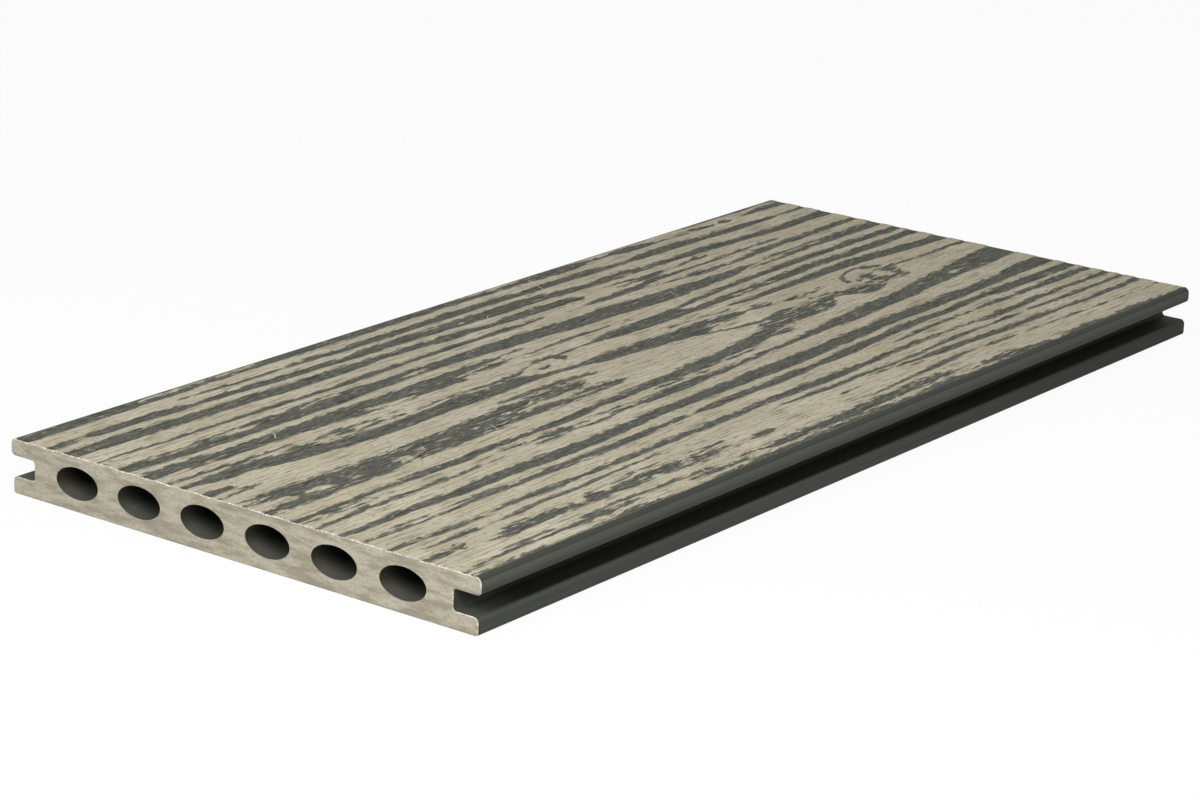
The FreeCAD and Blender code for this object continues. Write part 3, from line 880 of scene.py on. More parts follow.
@dataclass
class DeckingBoard:
    """The whole board: one closed mesh with its grain pressed into the walking face.

    Attributes:
        section: The cross-section.
        length: The board's length, in millimetres.
        grain: The pattern on the walking face.
        bake: The layout of the bake map.
        columns: Steps along the walking face.
        rows: Steps across the walking face.
        burr: Width of the bevel round the sawn ends, in millimetres.
        calm_edge: Width over which the relief dies out towards the rounded long edges, in millimetres.
    """

    section: BoardSection
    length: float
    grain: EmbossedGrain = EmbossedGrain()
    bake: BakeMap = BakeMap()
    columns: int = 262
    rows: int = 320
    burr: float = 0.3
    calm_edge: float = 1.2

    def __post_init__(self) -> None:
        """Lay out the points that the surfaces share, the walking face's own ones left row first."""
        self.profile, self.normals = self.section.profile()
        self.rings = self.section.chamber_rings()
        reach = self.length / 2.0 - self.burr
        along = np.linspace(-reach, reach, self.columns + 1)
        across = np.linspace(self.section.flat_half, -self.section.flat_half, self.rows + 1)
        x, y = np.meshgrid(along, across)
        from_near, from_left = x + self.length / 2.0, self.section.width / 2.0 - y
        self.depth, self.tear = self.grain.field(from_near, from_left)
        drop = self.grain.relief(self.depth, from_near, from_left)
        drop = drop * ramp(self.section.flat_half - np.abs(y), 0.0, self.calm_edge)
        self.face = np.stack((x, y, self.section.thickness - drop), axis=-1)
        self.draft = MeshDraft()
        self.grid = self.draft.add_vertices(self.face.reshape(-1, 3)).reshape(x.shape)

    def make(self) -> bpy.types.Object:
        """Build the board's surfaces, its mesh and its object.

        Returns:
            The board, without materials.
        """
        self._lay_face()
        rails = self._extrude_sides()
        tubes = self._bore_chambers()
        for side in (0, 1):
            self._cap(side, rails[side], [tube[side] for tube in tubes])
        mesh = self.draft.build(NODE + "_dressed")
        for name, values in (("grain_depth", self.depth), ("grain_tear", self.tear)):
            padded = np.zeros(len(mesh.vertices), np.float32)
            padded[: values.size] = values.ravel()
            mesh.attributes.new(name, "FLOAT", "POINT").data.foreach_set("value", padded)
        LOG.info("board: %d faces, %d vertices", len(mesh.polygons), len(mesh.vertices))
        return put_in_scene(mesh.name, mesh)

    def _map_u(self, x: float) -> float:
        """Return the bake map's u of a place along the board."""
        return x / self.length + 0.5

    def _lay_face(self) -> None:
        """Add the walking face's quads."""
        def quads(values: np.ndarray) -> list:
            """Return the values at each quad's four corners, row by row."""
            corners = (values[:-1, :-1], values[1:, :-1], values[1:, 1:], values[:-1, 1:])
            return np.stack(corners, axis=2).reshape(-1, 4, *values.shape[2:]).tolist()

        u = self._map_u(self.face[..., 0])
        v = self.bake.face_foot + (self.face[..., 1] + self.section.width / 2.0) / self.length
        for corners, places in zip(quads(self.grid), quads(np.stack((u, v), axis=-1))):
            self.draft.add_face(corners, Skin.WALKING_FACE, places)

    def _extrude_sides(self) -> list[np.ndarray]:
        """Add the sides and the underside, one long strip for each piece of the profile.

        Returns:
            The vertex numbers of the profile's points at the near and the far end, but for the first
            and the last, which are the walking face's own.
        """
        reach = self.length / 2.0 - self.burr
        ends = np.array((-reach, reach))
        rails = [self.draft.add_vertices(at_x(x, self.profile[1:-1])) for x in ends]
        edge_x = self.face[0, :, 0]
        runs = [(self.grid[0], edge_x), *((pair, ends) for pair in np.transpose(rails))]
        runs.append((self.grid[-1], edge_x))
        steps = np.hypot(*np.diff(self.profile, axis=0).T)
        shrink = np.where(steps > self.section.width / 2.0, self.bake.underside_share, 1.0)
        way = np.concatenate(((0.0,), np.cumsum(steps * shrink)))
        v = self.bake.sides_foot + way / way[-1] * self.bake.sides_height
        for index, ((upper, upper_x), (lower, lower_x)) in enumerate(zip(runs, runs[1:])):
            places = [(self._map_u(x), v[index]) for x in upper_x]
            places += [(self._map_u(x), v[index + 1]) for x in lower_x[::-1]]
            self.draft.add_face((*upper, *lower[::-1]), Skin.EXTRUDED, places)
        return rails

    def _bore_chambers(self) -> list[tuple[np.ndarray, np.ndarray]]:
        """Add the chambers' walls.

        Returns:
            The vertex numbers of each chamber's near and far rim.
        """
        tubes = []
        bake, reach = self.bake, self.length / 2.0
        band = bake.chambers_height / len(self.rings)
        for index, ring in enumerate(self.rings):
            near, far = (self.draft.add_vertices(at_x(x, ring)) for x in (-reach, reach))
            tubes.append((near, far))
            steps = np.arange(len(ring) + 1)
            v = bake.chambers_foot + band * (index + bake.chamber_share * steps / len(ring))
            for step, following in enumerate(np.roll(steps[:-1], -1)):
                low, high = v[step], v[step + 1]
                self.draft.add_face(
                    (near[step], near[following], far[following], far[step]),
                    Skin.EXTRUDED,
                    ((0.0, low), (0.0, high), (1.0, high), (1.0, low)),
                )
        return tubes

    def _cap(self, side: int, rail: np.ndarray, rims: list[np.ndarray]) -> None:
        """Close one end with its bevelled rim and its sawn face.

        Args:
            side: 0 for the near end and 1 for the far end.
            rail: The vertex numbers of the profile's points at this end.
            rims: The vertex numbers of the chambers' rims at this end.
        """
        end = (-1, 1)[side]
        outer = np.concatenate((self.grid[:, -side], rail[::-1]))
        around = np.concatenate((self.face[:, -side, 1:], self.profile[1:-1][::-1]))
        upwards = np.tile((0.0, 1.0), (len(self.face), 1))
        inset = around - np.concatenate((upwards, self.normals[1:-1][::-1])) * self.burr
        inner = self.draft.add_vertices(at_x(end * self.length / 2.0, inset))

        def place(point: np.ndarray) -> Point2:
            """Return the bake map's place of a point (y, z) on this end."""
            over = (point[0] + self.section.width / 2.0) / self.length
            return self.bake.end_left[side] + over, self.bake.ends_foot + point[1] / self.length

        for index, following in enumerate(np.roll(np.arange(len(outer)), -1)):
            corners = (outer[index], inner[index], inner[following], outer[following])
            rim = (around[index], inset[index], inset[following], around[following])
            self.draft.add_face(corners[::end], Skin.BURR, map(place, rim[::end]))
        loops = [inset, *self.rings]
        numbers = np.concatenate((inner, *rims))
        points = np.concatenate(loops)
        for triangle in tessellate_polygon([[Vector((y, z, 0.0)) for y, z in loop] for loop in loops]):
            a, b, c = (points[i] for i in triangle)
            turn = (b[0] - a[0]) * (c[1] - a[1]) - (b[1] - a[1]) * (c[0] - a[0])
            order = list(triangle if turn * end > 0.0 else triangle[::-1])
            self.draft.add_face(numbers[order], Skin.SAWN, map(place, points[order]))


class NodeSheet:
    """A node tree in the making, with short calls for the nodes that the finishes use."""

    def __init__(self, tree: bpy.types.NodeTree) -> None:
        """Take an empty node tree."""
        self.tree = tree

    @classmethod
    def cleared(cls, owner: bpy.types.Material | bpy.types.World) -> "NodeSheet":
        """Empty a node tree and draw on it.

        Args:
            owner: The material or world that has the tree.

        Returns:
            The sheet.
        """
        owner.use_nodes = True
        owner.node_tree.nodes.clear()
        return cls(owner.node_tree)

    def add(self, kind: str, *values: object, **settings: object) -> bpy.types.Node:
        """Add a node, set its properties and feed its first inputs.

        Args:
            kind: The node's type, without its ShaderNode prefix.
            values: Sockets or plain values for its inputs, in order.
            settings: Property names and values.

        Returns:
            The node.
        """
        node = self.tree.nodes.new("ShaderNode" + kind)
        for name, value in settings.items():
            setattr(node, name, value)
        for socket, value in zip(node.inputs, values):
            self.feed(socket, value)
        return node

    def feed(self, socket: bpy.types.NodeSocket, value: object) -> None:
        """Link a socket to another node's output, or set it to a plain value.

        Args:
            socket: The socket to feed.
            value: The output, number, vector or colour.
        """
        if isinstance(value, bpy.types.NodeSocket):
            self.tree.links.new(value, socket)
        elif isinstance(value, tuple) and len(value) == 3 and socket.type == "RGBA":
            socket.default_value = (*value, 1.0)
        else:
            socket.default_value = value

    def math(self, operation: str, *values: object) -> bpy.types.NodeSocket:
        """Return the result of a Math node with this operation and these inputs."""
        return self.add("Math", *values, operation=operation).outputs[0]

    def product(self, first: object, second: object) -> bpy.types.NodeSocket:
        """Return one value times the other."""
        return self.math("MULTIPLY", first, second)

    def vector_math(self, operation: str, *values: object) -> bpy.types.NodeSocket:
        """Return the vector or, for a dot product or a distance, the number from a Vector Math node."""
        node = self.add("VectorMath", *values, operation=operation)
        return node.outputs["Value" if operation in ("DOT_PRODUCT", "DISTANCE") else "Vector"]

    def vector(self, *parts: object) -> bpy.types.NodeSocket:
        """Return a vector with these x, y and z."""
        return self.add("CombineXYZ", *parts).outputs[0]

    def axes(self, system: str = "Object") -> tuple[bpy.types.NodeSocket, ...]:
        """Return x, y and z of the surface's place in one of the texture coordinates."""
        place = self.add("TexCoord").outputs[system]
        return tuple(self.add("SeparateXYZ", place).outputs)

    def grade(self, value: object, low: object, high: object, start: object = 0.0, stop: object = 1.0,
              kind: str = "SMOOTHSTEP") -> bpy.types.NodeSocket:
        """Return a value moved from one range to another.

        Args:
            value: The socket to grade.
            low: The number or socket whose value gives start.
            high: The number or socket whose value gives stop.
            start: The result at low.
            stop: The result at high.
            kind: The Map Range node's interpolation.

        Returns:
            The graded value.
        """
        node = self.add("MapRange", value, low, high, start, stop, interpolation_type=kind)
        return node.outputs["Result"]

    def zone(self, place: object, low: float, high: float, *levels: float) -> bpy.types.NodeSocket:
        """Return a smooth step between two places given in millimetres, to the given levels."""
        return self.grade(place, low * MM, high * MM, *levels)

    def blend(self, factor: object, first: object, second: object) -> bpy.types.NodeSocket:
        """Return a mix of two colours.

        Args:
            factor: Share of the second colour.
            first: The first colour.
            second: The second colour.

        Returns:
            The mixed colour.
        """
        node = self.add("Mix", factor, data_type="RGBA")
        self.feed(node.inputs[6], first)
        self.feed(node.inputs[7], second)
        return node.outputs[2]

    def noise(self, place: object, shift: object, scale: object, detail: object,
              roughness: float) -> bpy.types.NodeSocket:
        """Return noise between 0 and 1.

        Args:
            place: Where on the pattern each point lies.
            shift: A number that picks the pattern.
            scale: How many features fit in one unit of place.
            detail: How many finer layers are added.
            roughness: How strong the finer layers are.

        Returns:
            The noise.
        """
        node = self.add("TexNoise", noise_dimensions="4D")
        names = ("Vector", "W", "Scale", "Detail", "Roughness")
        for name, value in zip(names, (place, shift, scale, detail, roughness)):
            self.feed(node.inputs[name], value)
        return node.outputs["Fac"]

    def group(self, tree: bpy.types.NodeTree, **values: object) -> bpy.types.NodeSocket:
        """Place a shared effect.

        Args:
            tree: The effect's node group.
            values: Its inputs by name, with underscores for spaces.

        Returns:
            Its output.
        """
        node = self.add("Group", node_tree=tree)
        for name, value in values.items():
            self.feed(node.inputs[name.replace("_", " ")], value)
        return node.outputs[0]


class MaterialSheet(NodeSheet):
    """The node tree of a new material with one Principled shader."""

    def __init__(self, name: str) -> None:
        """Make the material, with nothing but its shader and its output.

        Args:
            name: The material's name.
        """
        self.material = bpy.data.materials.new(name)
        super().__init__(NodeSheet.cleared(self.material).tree)
        self.shader = self.add("BsdfPrincipled")
        self.add("OutputMaterial", self.shader.outputs[0])

    def finish(self, colour: object, roughness: object, gloss: float, height: object,
               bump: Point2) -> bpy.types.Material:
        """Feed the shader.

        Args:
            colour: The surface's colour.
            roughness: Its roughness.
            gloss: Its specular level.
            height: The relief that its bump shows.
            bump: That relief's depth in millimetres, and its strength.

        Returns:
            The material.
        """
        self.feed(self.shader.inputs["Base Color"], colour)
        self.feed(self.shader.inputs["Roughness"], roughness)
        self.shader.inputs["Specular IOR Level"].default_value = gloss
        node = self.add("Bump")
        self.feed(node.inputs["Height"], height)
        node.inputs["Distance"].default_value = bump[0] * MM
        node.inputs["Strength"].default_value = bump[1]
        self.feed(self.shader.inputs["Normal"], node.outputs[0])
        return self.material


class SharedEffects:
    """The node groups that the finishes place."""

    def __init__(self) -> None:
        """Build each group once."""
        self.fibre = self._fibre()
        self.mottle = self._mottle()
        self.scuff = self._scuff()

    @staticmethod
    def _start(
        name: str, output: str, **inputs: float
    ) -> tuple[NodeSheet, bpy.types.NodeSocket, list[bpy.types.NodeSocket]]:
        """Make an empty group with named number inputs and one named output.

        Args:
            name: The group's name.
            output: The output's name.
            inputs: Input names, with underscores for spaces, and their default values.

        Returns:
            A sheet to draw on, the output's socket and the inputs' sockets in order.
        """
        tree = bpy.data.node_groups.new(name, "ShaderNodeTree")
        for label, value in inputs.items():
            label = label.replace("_", " ")
            socket = tree.interface.new_socket(name=label, in_out="INPUT", socket_type="NodeSocketFloat")
            socket.default_value = value
        tree.interface.new_socket(name=output, in_out="OUTPUT", socket_type="NodeSocketFloat")
        entry = tree.nodes.new("NodeGroupInput")
        leave = tree.nodes.new("NodeGroupOutput")
        return NodeSheet(tree), leave.inputs[output], list(entry.outputs)[: len(inputs)]

    def _fibre(self) -> bpy.types.NodeTree:
        """Build the noise that is drawn out by its own size along each axis, in millimetres.

        Returns:
            The group.
        """
        sheet, result, (*sizes, shift, detail) = self._start(
            "drawn_out_fibres", "Fibre", Long=20.0, Wide=1.0, High=1.0, Shift=0.0, Detail=3.0
        )
        stretched = [
            sheet.math("DIVIDE", sheet.math("DIVIDE", place, MM), size)
            for place, size in zip(sheet.axes(), sizes)
        ]
        sheet.feed(result, sheet.noise(sheet.vector(*stretched), shift, 1.0, detail, 0.6))
        return sheet.tree

    def _scuff(self) -> bpy.types.NodeTree:
        """Build the mark that is 1 on a short line and 0 off it.

        The line's ends are in millimetres from the near end and from the left edge.

        Returns:
            The group.
        """
        sheet, result, (start_x, start_y, stop_x, stop_y, half_width) = self._start(
            "scuff_line", "Mark", Start_X=0.0, Start_Y=0.0, Stop_X=1.0, Stop_Y=0.0, Half_Width=0.3
        )
        x, y, _ = sheet.axes()
        from_end = sheet.math("DIVIDE", sheet.math("SUBTRACT", x, CAD_LOW[0]), MM)
        from_left = sheet.math("DIVIDE", sheet.math("SUBTRACT", CAD_HIGH[1], y), MM)
        start = sheet.vector(start_x, start_y)
        run = sheet.vector_math("SUBTRACT", sheet.vector(stop_x, stop_y), start)
        offset = sheet.vector_math("SUBTRACT", sheet.vector(from_end, from_left), start)
        ahead, whole = (sheet.vector_math("DOT_PRODUCT", vector, run) for vector in (offset, run))
        along = sheet.math("DIVIDE", ahead, whole)
        reached = sheet.vector_math("MULTIPLY", run, sheet.grade(along, 0.0, 1.0, kind="LINEAR"))
        away = sheet.vector_math("DISTANCE", offset, reached)
        sheet.feed(result, sheet.grade(away, half_width, 0.0))
        return sheet.tree

    def _mottle(self) -> bpy.types.NodeTree:
        """Build even noise round 0.5, with its feature size in millimetres and its contrast.

        Returns:
            The group.
        """
        sheet, result, (size, contrast, shift) = self._start(
            "mottling", "Mottle", Size=4.0, Contrast=1.0, Shift=0.0
        )
        place = sheet.add("TexCoord").outputs["Object"]
        noise = sheet.noise(place, shift, sheet.math("DIVIDE", 1.0 / MM, size), 4.0, 0.5)
        centred = sheet.math("SUBTRACT", noise, 0.5)
        sheet.feed(result, sheet.math("MULTIPLY_ADD", centred, contrast, 0.5))
        return sheet.tree


@dataclass(frozen=True)
class WalkingFaceFinish:
    """The embossed, brushed walking face: taupe lands and dark green-grey streaks.

    Attributes:
        land: The lands' usual colour.
        land_pale: The lands' palest fibres.
        land_deep: The lands' darkest fibres and pits.
        streak: The streaks' usual colour.
        streak_deep: The streaks' darkest fibres.
        streak_worn: The streaks' brushed, paler fibres.
        tear: How far fine noise moves a calm streak's edges, in millimetres.
        tear_gain: How much further it does for each step of raggedness.
        split: How far long fibres split a streak of full raggedness, in millimetres.
        edge: Half the width of the change of colour at a streak's edge, in millimetres.
        cloud_share: How strongly the soft clouds add to the pale fibres.
        pale_fibres: Where the pale fibres show on the lands.
        land_hairs: Where the dark hairs show on the lands.
        land_dashes: Where the short dark dashes show on the lands.
        streak_hairs: Where the dark hairs show on the streaks.
        streak_dashes: Where the short worn dashes show on the streaks.
        worn_edge: How the wear fades from a streak's edge inwards, in millimetres.
        roughness: How the hairs change the roughness.
        gloss: The specular level.
        hair_height: Share of the hairs in the bump.
        dash_height: Share of the dashes in the bump.
        streak_drop: Share of the streaks' drop in the bump.
        bump: The bump's depth in millimetres, and its strength.
        scuffed: The pale colour of the scuffs.
        scuffs: The scuffs.
    """

    land: Colour = srgb(190, 182, 159)
    land_pale: Colour = srgb(208, 201, 180)
    land_deep: Colour = srgb(122, 114, 93)
    streak: Colour = srgb(88, 90, 83)
    streak_deep: Colour = srgb(50, 52, 46)
    streak_worn: Colour = srgb(136, 134, 119)
    tear: float = 1.2
    tear_gain: float = 6.5
    split: float = 3.4
    edge: float = 0.14
    cloud_share: float = 0.6
    pale_fibres: Step = (0.70, 1.0, 0.0, 1.0)
    land_hairs: Step = (0.5, 0.64, 0.0, 0.8)
    land_dashes: Step = (0.55, 0.66, 0.0, 0.7)
    streak_hairs: Step = (0.52, 0.36, 0.0, 1.0)
    streak_dashes: Step = (0.52, 0.66, 0.0, 0.8)
    worn_edge: Step = (0.1, 0.9, 0.55, 0.0)
    roughness: Step = (0.3, 0.7, 0.7, 0.84)
    gloss: float = 0.12
    hair_height: float = 0.8
    dash_height: float = 0.5
    streak_drop: float = 0.7
    bump: Point2 = (0.18, 0.9)
    scuffed: Colour = srgb(222, 217, 200)
    scuffs: tuple[Scuff, ...] = SCUFFS

    def make(self, effects: SharedEffects) -> bpy.types.Material:
        """Build the material.

        Args:
            effects: The shared effects that it places.

        Returns:
            The material.
        """
        sheet = MaterialSheet("embossed_walking_face")
        depth = sheet.add("Attribute", attribute_name="grain_depth").outputs["Fac"]
        ragged = sheet.add("Attribute", attribute_name="grain_tear").outputs["Fac"]
        torn = sheet.group(effects.fibre, Long=6.0, Wide=1.0, Shift=1.0, Detail=5.0)
        reach = sheet.math("MULTIPLY_ADD", ragged, self.tear_gain, self.tear)
        inside = sheet.math("MULTIPLY_ADD", sheet.math("SUBTRACT", torn, 0.5), reach, depth)
        split = sheet.group(effects.fibre, Long=20.0, Wide=1.3, Shift=12.0, Detail=3.0)
        spread = sheet.product(ragged, self.split)
        inside = sheet.math("MULTIPLY_ADD", sheet.math("SUBTRACT", split, 0.5), spread, inside)
        dark = sheet.grade(inside, -self.edge, self.edge)
        fibre = sheet.group(effects.fibre, Long=40.0, Wide=1.0, Shift=2.0, Detail=4.0)
        hair = sheet.group(effects.fibre, Long=16.0, Wide=0.85, Shift=3.0, Detail=4.0)
        dash = sheet.group(effects.fibre, Long=3.6, Wide=1.0, Shift=9.0, Detail=3.0)
        cloud = sheet.group(effects.mottle, Size=26.0, Contrast=1.0, Shift=4.0)
        pale = sheet.math("ADD", fibre, sheet.product(cloud, self.cloud_share))
        land = sheet.blend(sheet.grade(pale, *self.pale_fibres), self.land, self.land_pale)
        land = sheet.blend(sheet.grade(hair, *self.land_hairs), land, self.land_deep)
        land = sheet.blend(sheet.grade(dash, *self.land_dashes), land, self.land_deep)
        streak = sheet.blend(sheet.grade(hair, *self.streak_hairs), self.streak, self.streak_deep)
        streak = sheet.blend(sheet.grade(dash, *self.streak_dashes), streak, self.streak_worn)
        streak = sheet.blend(sheet.grade(inside, *self.worn_edge), streak, self.streak_worn)
        face = sheet.blend(dark, land, streak)
        for scuff in self.scuffs:
            mark = sheet.group(
                effects.scuff,
                Start_X=scuff.start[0], Start_Y=scuff.start[1],
                Stop_X=scuff.stop[0], Stop_Y=scuff.stop[1],
                Half_Width=scuff.half_width,
            )
            face = sheet.blend(sheet.product(mark, scuff.strength), face, self.scuffed)
        dashes = sheet.product(dash, self.dash_height)
        height = sheet.math("MULTIPLY_ADD", hair, self.hair_height, dashes)
        height = sheet.math("SUBTRACT", height, sheet.product(dark, self.streak_drop))
        roughness = sheet.grade(hair, *self.roughness, "LINEAR")
        return sheet.finish(face, roughness, self.gloss, height, self.bump)


@dataclass(frozen=True)
class ExtrudedFinish:
    """The smooth dark skin that the die leaves in the chambers, grooves, sides and underside.

    The zones are in millimetres: z from the underside, y from the board's middle, either way, and x
    from its middle towards the far end or, for what both ends have, towards either end.

    Attributes:
        skin: The usual colour.
        skin_deep: The colour of its darker draw lines and of the rounded upper edges.
        skin_pale_and_highlight: The colour of its paler grit and of the painted highlight under those edges.
        groove: The painted shade inside the clip grooves and low on the far part of the sides.
        chamber: The painted shade inside the chambers.
        chamber_floor_light: The painted light on the chambers' lower walls, strongest just inside the ends.
        dust: The colour of the saw dust just inside the ends.
        draw_lines: Where the draw lines show.
        pale_grit: Where the pale grit shows.
        arris: The rounded upper edges, by z.
        highlight_foot: The lower end of the painted highlight under the rounded upper edges, by z.
        highlight_top: Its upper end, by z.
        highlight_share: How strongly it is painted.
        groove_mouth: A groove's open side, by y.
        groove_back: Its back, by y.
        groove_floor: Its floor, by z.
        groove_shade_run: How strongly the painted shade lies in the grooves along the board, by x: faint at
            the near end, full from 30 mm in.
        lower_lip: The lower lip, by z.
        lip_side: The lips, by y.
        lip_shade_run: How the painted shade on the lower lip grows towards the far end, by x.
        hollow: The chambers' part of the section, by y.
        chamber_paint_share: How strongly the chambers take their painted shade and light.
        floor_light_rise: How the painted light on the chambers' lower walls fades upwards, by z.
        floor_light_ends: How it fades away from the ends, by x.
        dusty_ends: Where loose dust lies, by x.
        dusty_grit: Which grit is loose dust.
        roughness: How the grit changes the roughness.
        gloss: The specular level.
        grit_height: Share of the grit in the bump.
        bump: The bump's depth in millimetres, and its strength.
    """

    skin: Colour = srgb(80, 82, 75)
    skin_deep: Colour = srgb(60, 62, 56)
    skin_pale_and_highlight: Colour = srgb(100, 102, 94)
    groove: Colour = srgb(24, 23, 18)
    chamber: Colour = srgb(56, 53, 44)
    chamber_floor_light: Colour = srgb(88, 88, 80)
    dust: Colour = srgb(190, 186, 172)
    draw_lines: Step = (0.32, 0.6, 0.5, 0.0)
    pale_grit: Step = (0.5, 0.75, 0.0, 0.4)
    arris: Step = (18.5, 19.2, 0.0, 0.9)
    highlight_foot: Point2 = (15.6, 17.2)
    highlight_top: Point2 = (19.0, 18.4)
    highlight_share: float = 0.7
    groove_mouth: Point2 = (103.8, 102.4)
    groove_back: Point2 = (90.0, 91.0)
    groove_floor: Point2 = (5.6, 6.2)
    groove_shade_run: Step = (-229.0, -200.0, 0.15, 0.94)
    lower_lip: Point2 = (6.6, 6.0)
    lip_side: Point2 = (100.0, 102.0)
    lip_shade_run: Step = (-40.0, 215.0, 0.0, 0.6)
    hollow: Point2 = (90.0, 89.0)
    chamber_paint_share: float = 0.8
    floor_light_rise: Point2 = (9.6, 5.4)
    floor_light_ends: Step = (212.0, 230.0, 0.2, 1.0)
    dusty_ends: Point2 = (215.0, 230.0)
    dusty_grit: Point2 = (0.71, 0.8)
    roughness: Step = (0.3, 0.7, 0.6, 0.72)
    gloss: float = 0.18
    grit_height: float = 0.4
    bump: Point2 = (0.05, 0.7)

    def make(self, effects: SharedEffects) -> bpy.types.Material:
        """Build the material.

        Args:
            effects: The shared effects that it places.

        Returns:
            The material.
        """
        sheet = MaterialSheet("extruded_skin")
        lines = sheet.group(effects.fibre, Long=120.0, Wide=0.7, High=0.7, Shift=5.0, Detail=3.0)
        grit = sheet.group(effects.mottle, Size=0.8, Contrast=1.2, Shift=6.0)
        x, y, z = sheet.axes()
        side, from_middle = sheet.math("ABSOLUTE", y), sheet.math("ABSOLUTE", x)
        colour = sheet.blend(sheet.grade(lines, *self.draw_lines), self.skin, self.skin_deep)
        colour = sheet.blend(sheet.grade(grit, *self.pale_grit), colour, self.skin_pale_and_highlight)
        # Painted highlight: a paler band just under the rounded upper edges of the sides, where they catch
        # the light.
        painted_highlight = sheet.product(sheet.zone(z, *self.highlight_foot), sheet.zone(z, *self.highlight_top))
        colour = sheet.blend(sheet.product(painted_highlight, self.highlight_share), colour, self.skin_pale_and_highlight)
        colour = sheet.blend(sheet.zone(z, *self.arris), colour, self.skin_deep)
        # Painted shade deep in the clip grooves, faint over the first 30 mm from the near end, where light
        # falls in.
        groove_shade = sheet.product(sheet.zone(side, *self.groove_mouth), sheet.zone(side, *self.groove_back))
        groove_shade = sheet.product(groove_shade, sheet.zone(z, *self.groove_floor))
        groove_shade = sheet.product(groove_shade, sheet.zone(x, *self.groove_shade_run))
        colour = sheet.blend(groove_shade, colour, self.groove)
        # Painted shade on the lower lips, in the grooves' colour, growing towards the far end.
        low = sheet.product(sheet.zone(z, *self.lower_lip), sheet.zone(x, *self.lip_shade_run))
        colour = sheet.blend(sheet.product(low, sheet.zone(side, *self.lip_side)), colour, self.groove)
        # Painted light on the chambers' lower walls, strongest just inside the ends, over their painted
        # shade.
        floor_light = sheet.product(sheet.zone(z, *self.floor_light_rise), sheet.zone(from_middle, *self.floor_light_ends))
        chamber = sheet.blend(floor_light, self.chamber, self.chamber_floor_light)
        # The chambers take their painted shade and light over the skin.
        hollow = sheet.product(sheet.zone(side, *self.hollow), self.chamber_paint_share)
        colour = sheet.blend(hollow, colour, chamber)
        dusty = sheet.product(sheet.zone(from_middle, *self.dusty_ends), sheet.grade(grit, *self.dusty_grit))
        colour = sheet.blend(dusty, colour, self.dust)
        height = sheet.math("ADD", lines, sheet.product(grit, self.grit_height))
        roughness = sheet.grade(grit, *self.roughness, "LINEAR")
        return sheet.finish(colour, roughness, self.gloss, height, self.bump)


@dataclass(frozen=True)
class SawnFinish:
    """The sawn ends: bare taupe core with faint flow marks and pale specks.

    Attributes:
        name: The material's name.
        core: The usual colour.
        core_deep: The colour of the flow marks.
        speck: The colour of the pale specks.
        specks: Where the pale specks show.
        flow_marks: Where the wide flow marks show.
        drag_marks: Where the fine marks of the saw show.
        deep_grit: Where dark grit shows.
        roughness: How the flow changes the roughness.
        gloss: The specular level.
        bump: The bump's depth in millimetres, and its strength.
    """

    name: str
    core: Colour
    core_deep: Colour
    speck: Colour
    specks: Point2
    flow_marks: Step = (0.42, 0.64, 0.0, 0.8)
    drag_marks: Step = (0.5, 0.7, 0.0, 0.55)
    deep_grit: Step = (0.3, 0.55, 0.4, 0.0)
    roughness: Step = (0.2, 0.8, 0.76, 0.86)
    gloss: float = 0.15
    bump: Point2 = (0.1, 0.7)

    def make(self, effects: SharedEffects) -> bpy.types.Material:
        """Build the material.

        Args:
            effects: The shared effects that it places.

        Returns:
            The material.
        """
        sheet = MaterialSheet(self.name)
        flow = sheet.group(effects.fibre, Long=6.0, Wide=13.0, High=3.2, Shift=7.0, Detail=5.0)
        drag = sheet.group(effects.fibre, Long=3.0, Wide=3.6, High=0.5, Shift=10.0, Detail=3.0)
        grit = sheet.group(effects.mottle, Size=0.7, Contrast=1.4, Shift=8.0)
        colour = sheet.blend(sheet.grade(flow, *self.flow_marks), self.core, self.core_deep)
        colour = sheet.blend(sheet.grade(drag, *self.drag_marks), colour, self.core_deep)
        colour = sheet.blend(sheet.grade(grit, *self.deep_grit), colour, self.core_deep)
        colour = sheet.blend(sheet.grade(grit, *self.specks), colour, self.speck)
        roughness = sheet.grade(flow, *self.roughness, "LINEAR")
        return sheet.finish(colour, roughness, self.gloss, sheet.math("ADD", grit, drag), self.bump)


SAWN_END = SawnFinish(
    "sawn_end", srgb(209, 203, 183), srgb(161, 153, 131), srgb(222, 218, 204), (0.78, 0.86)
)
BURR_EDGE = SawnFinish(
    "burred_edge", srgb(200, 195, 177), srgb(176, 169, 150), srgb(238, 236, 227), (0.5, 0.58)
)


@dataclass(frozen=True)
class Lamp:
    """A square soft lamp.

    Attributes:
        name: The lamp's name.
        place: Where it stands, in metres.
        target: What it points at, in metres.
        side: Its side, in metres.
        power: Its power, in watts.
    """

    name: str
    place: Point3
    target: Point3
    side: float
    power: float

    def make(self) -> None:
        """Put the lamp in the scene and point it at its target."""
        data = bpy.data.lights.new(self.name, "AREA")
        data.shape = "SQUARE"
        data.size = self.side
        data.energy = self.power
        light = put_in_scene(self.name, data)
        light.location = self.place
        light.rotation_mode = "QUATERNION"
        light.rotation_quaternion = (Vector(self.target) - Vector(self.place)).to_track_quat("-Z", "Y")


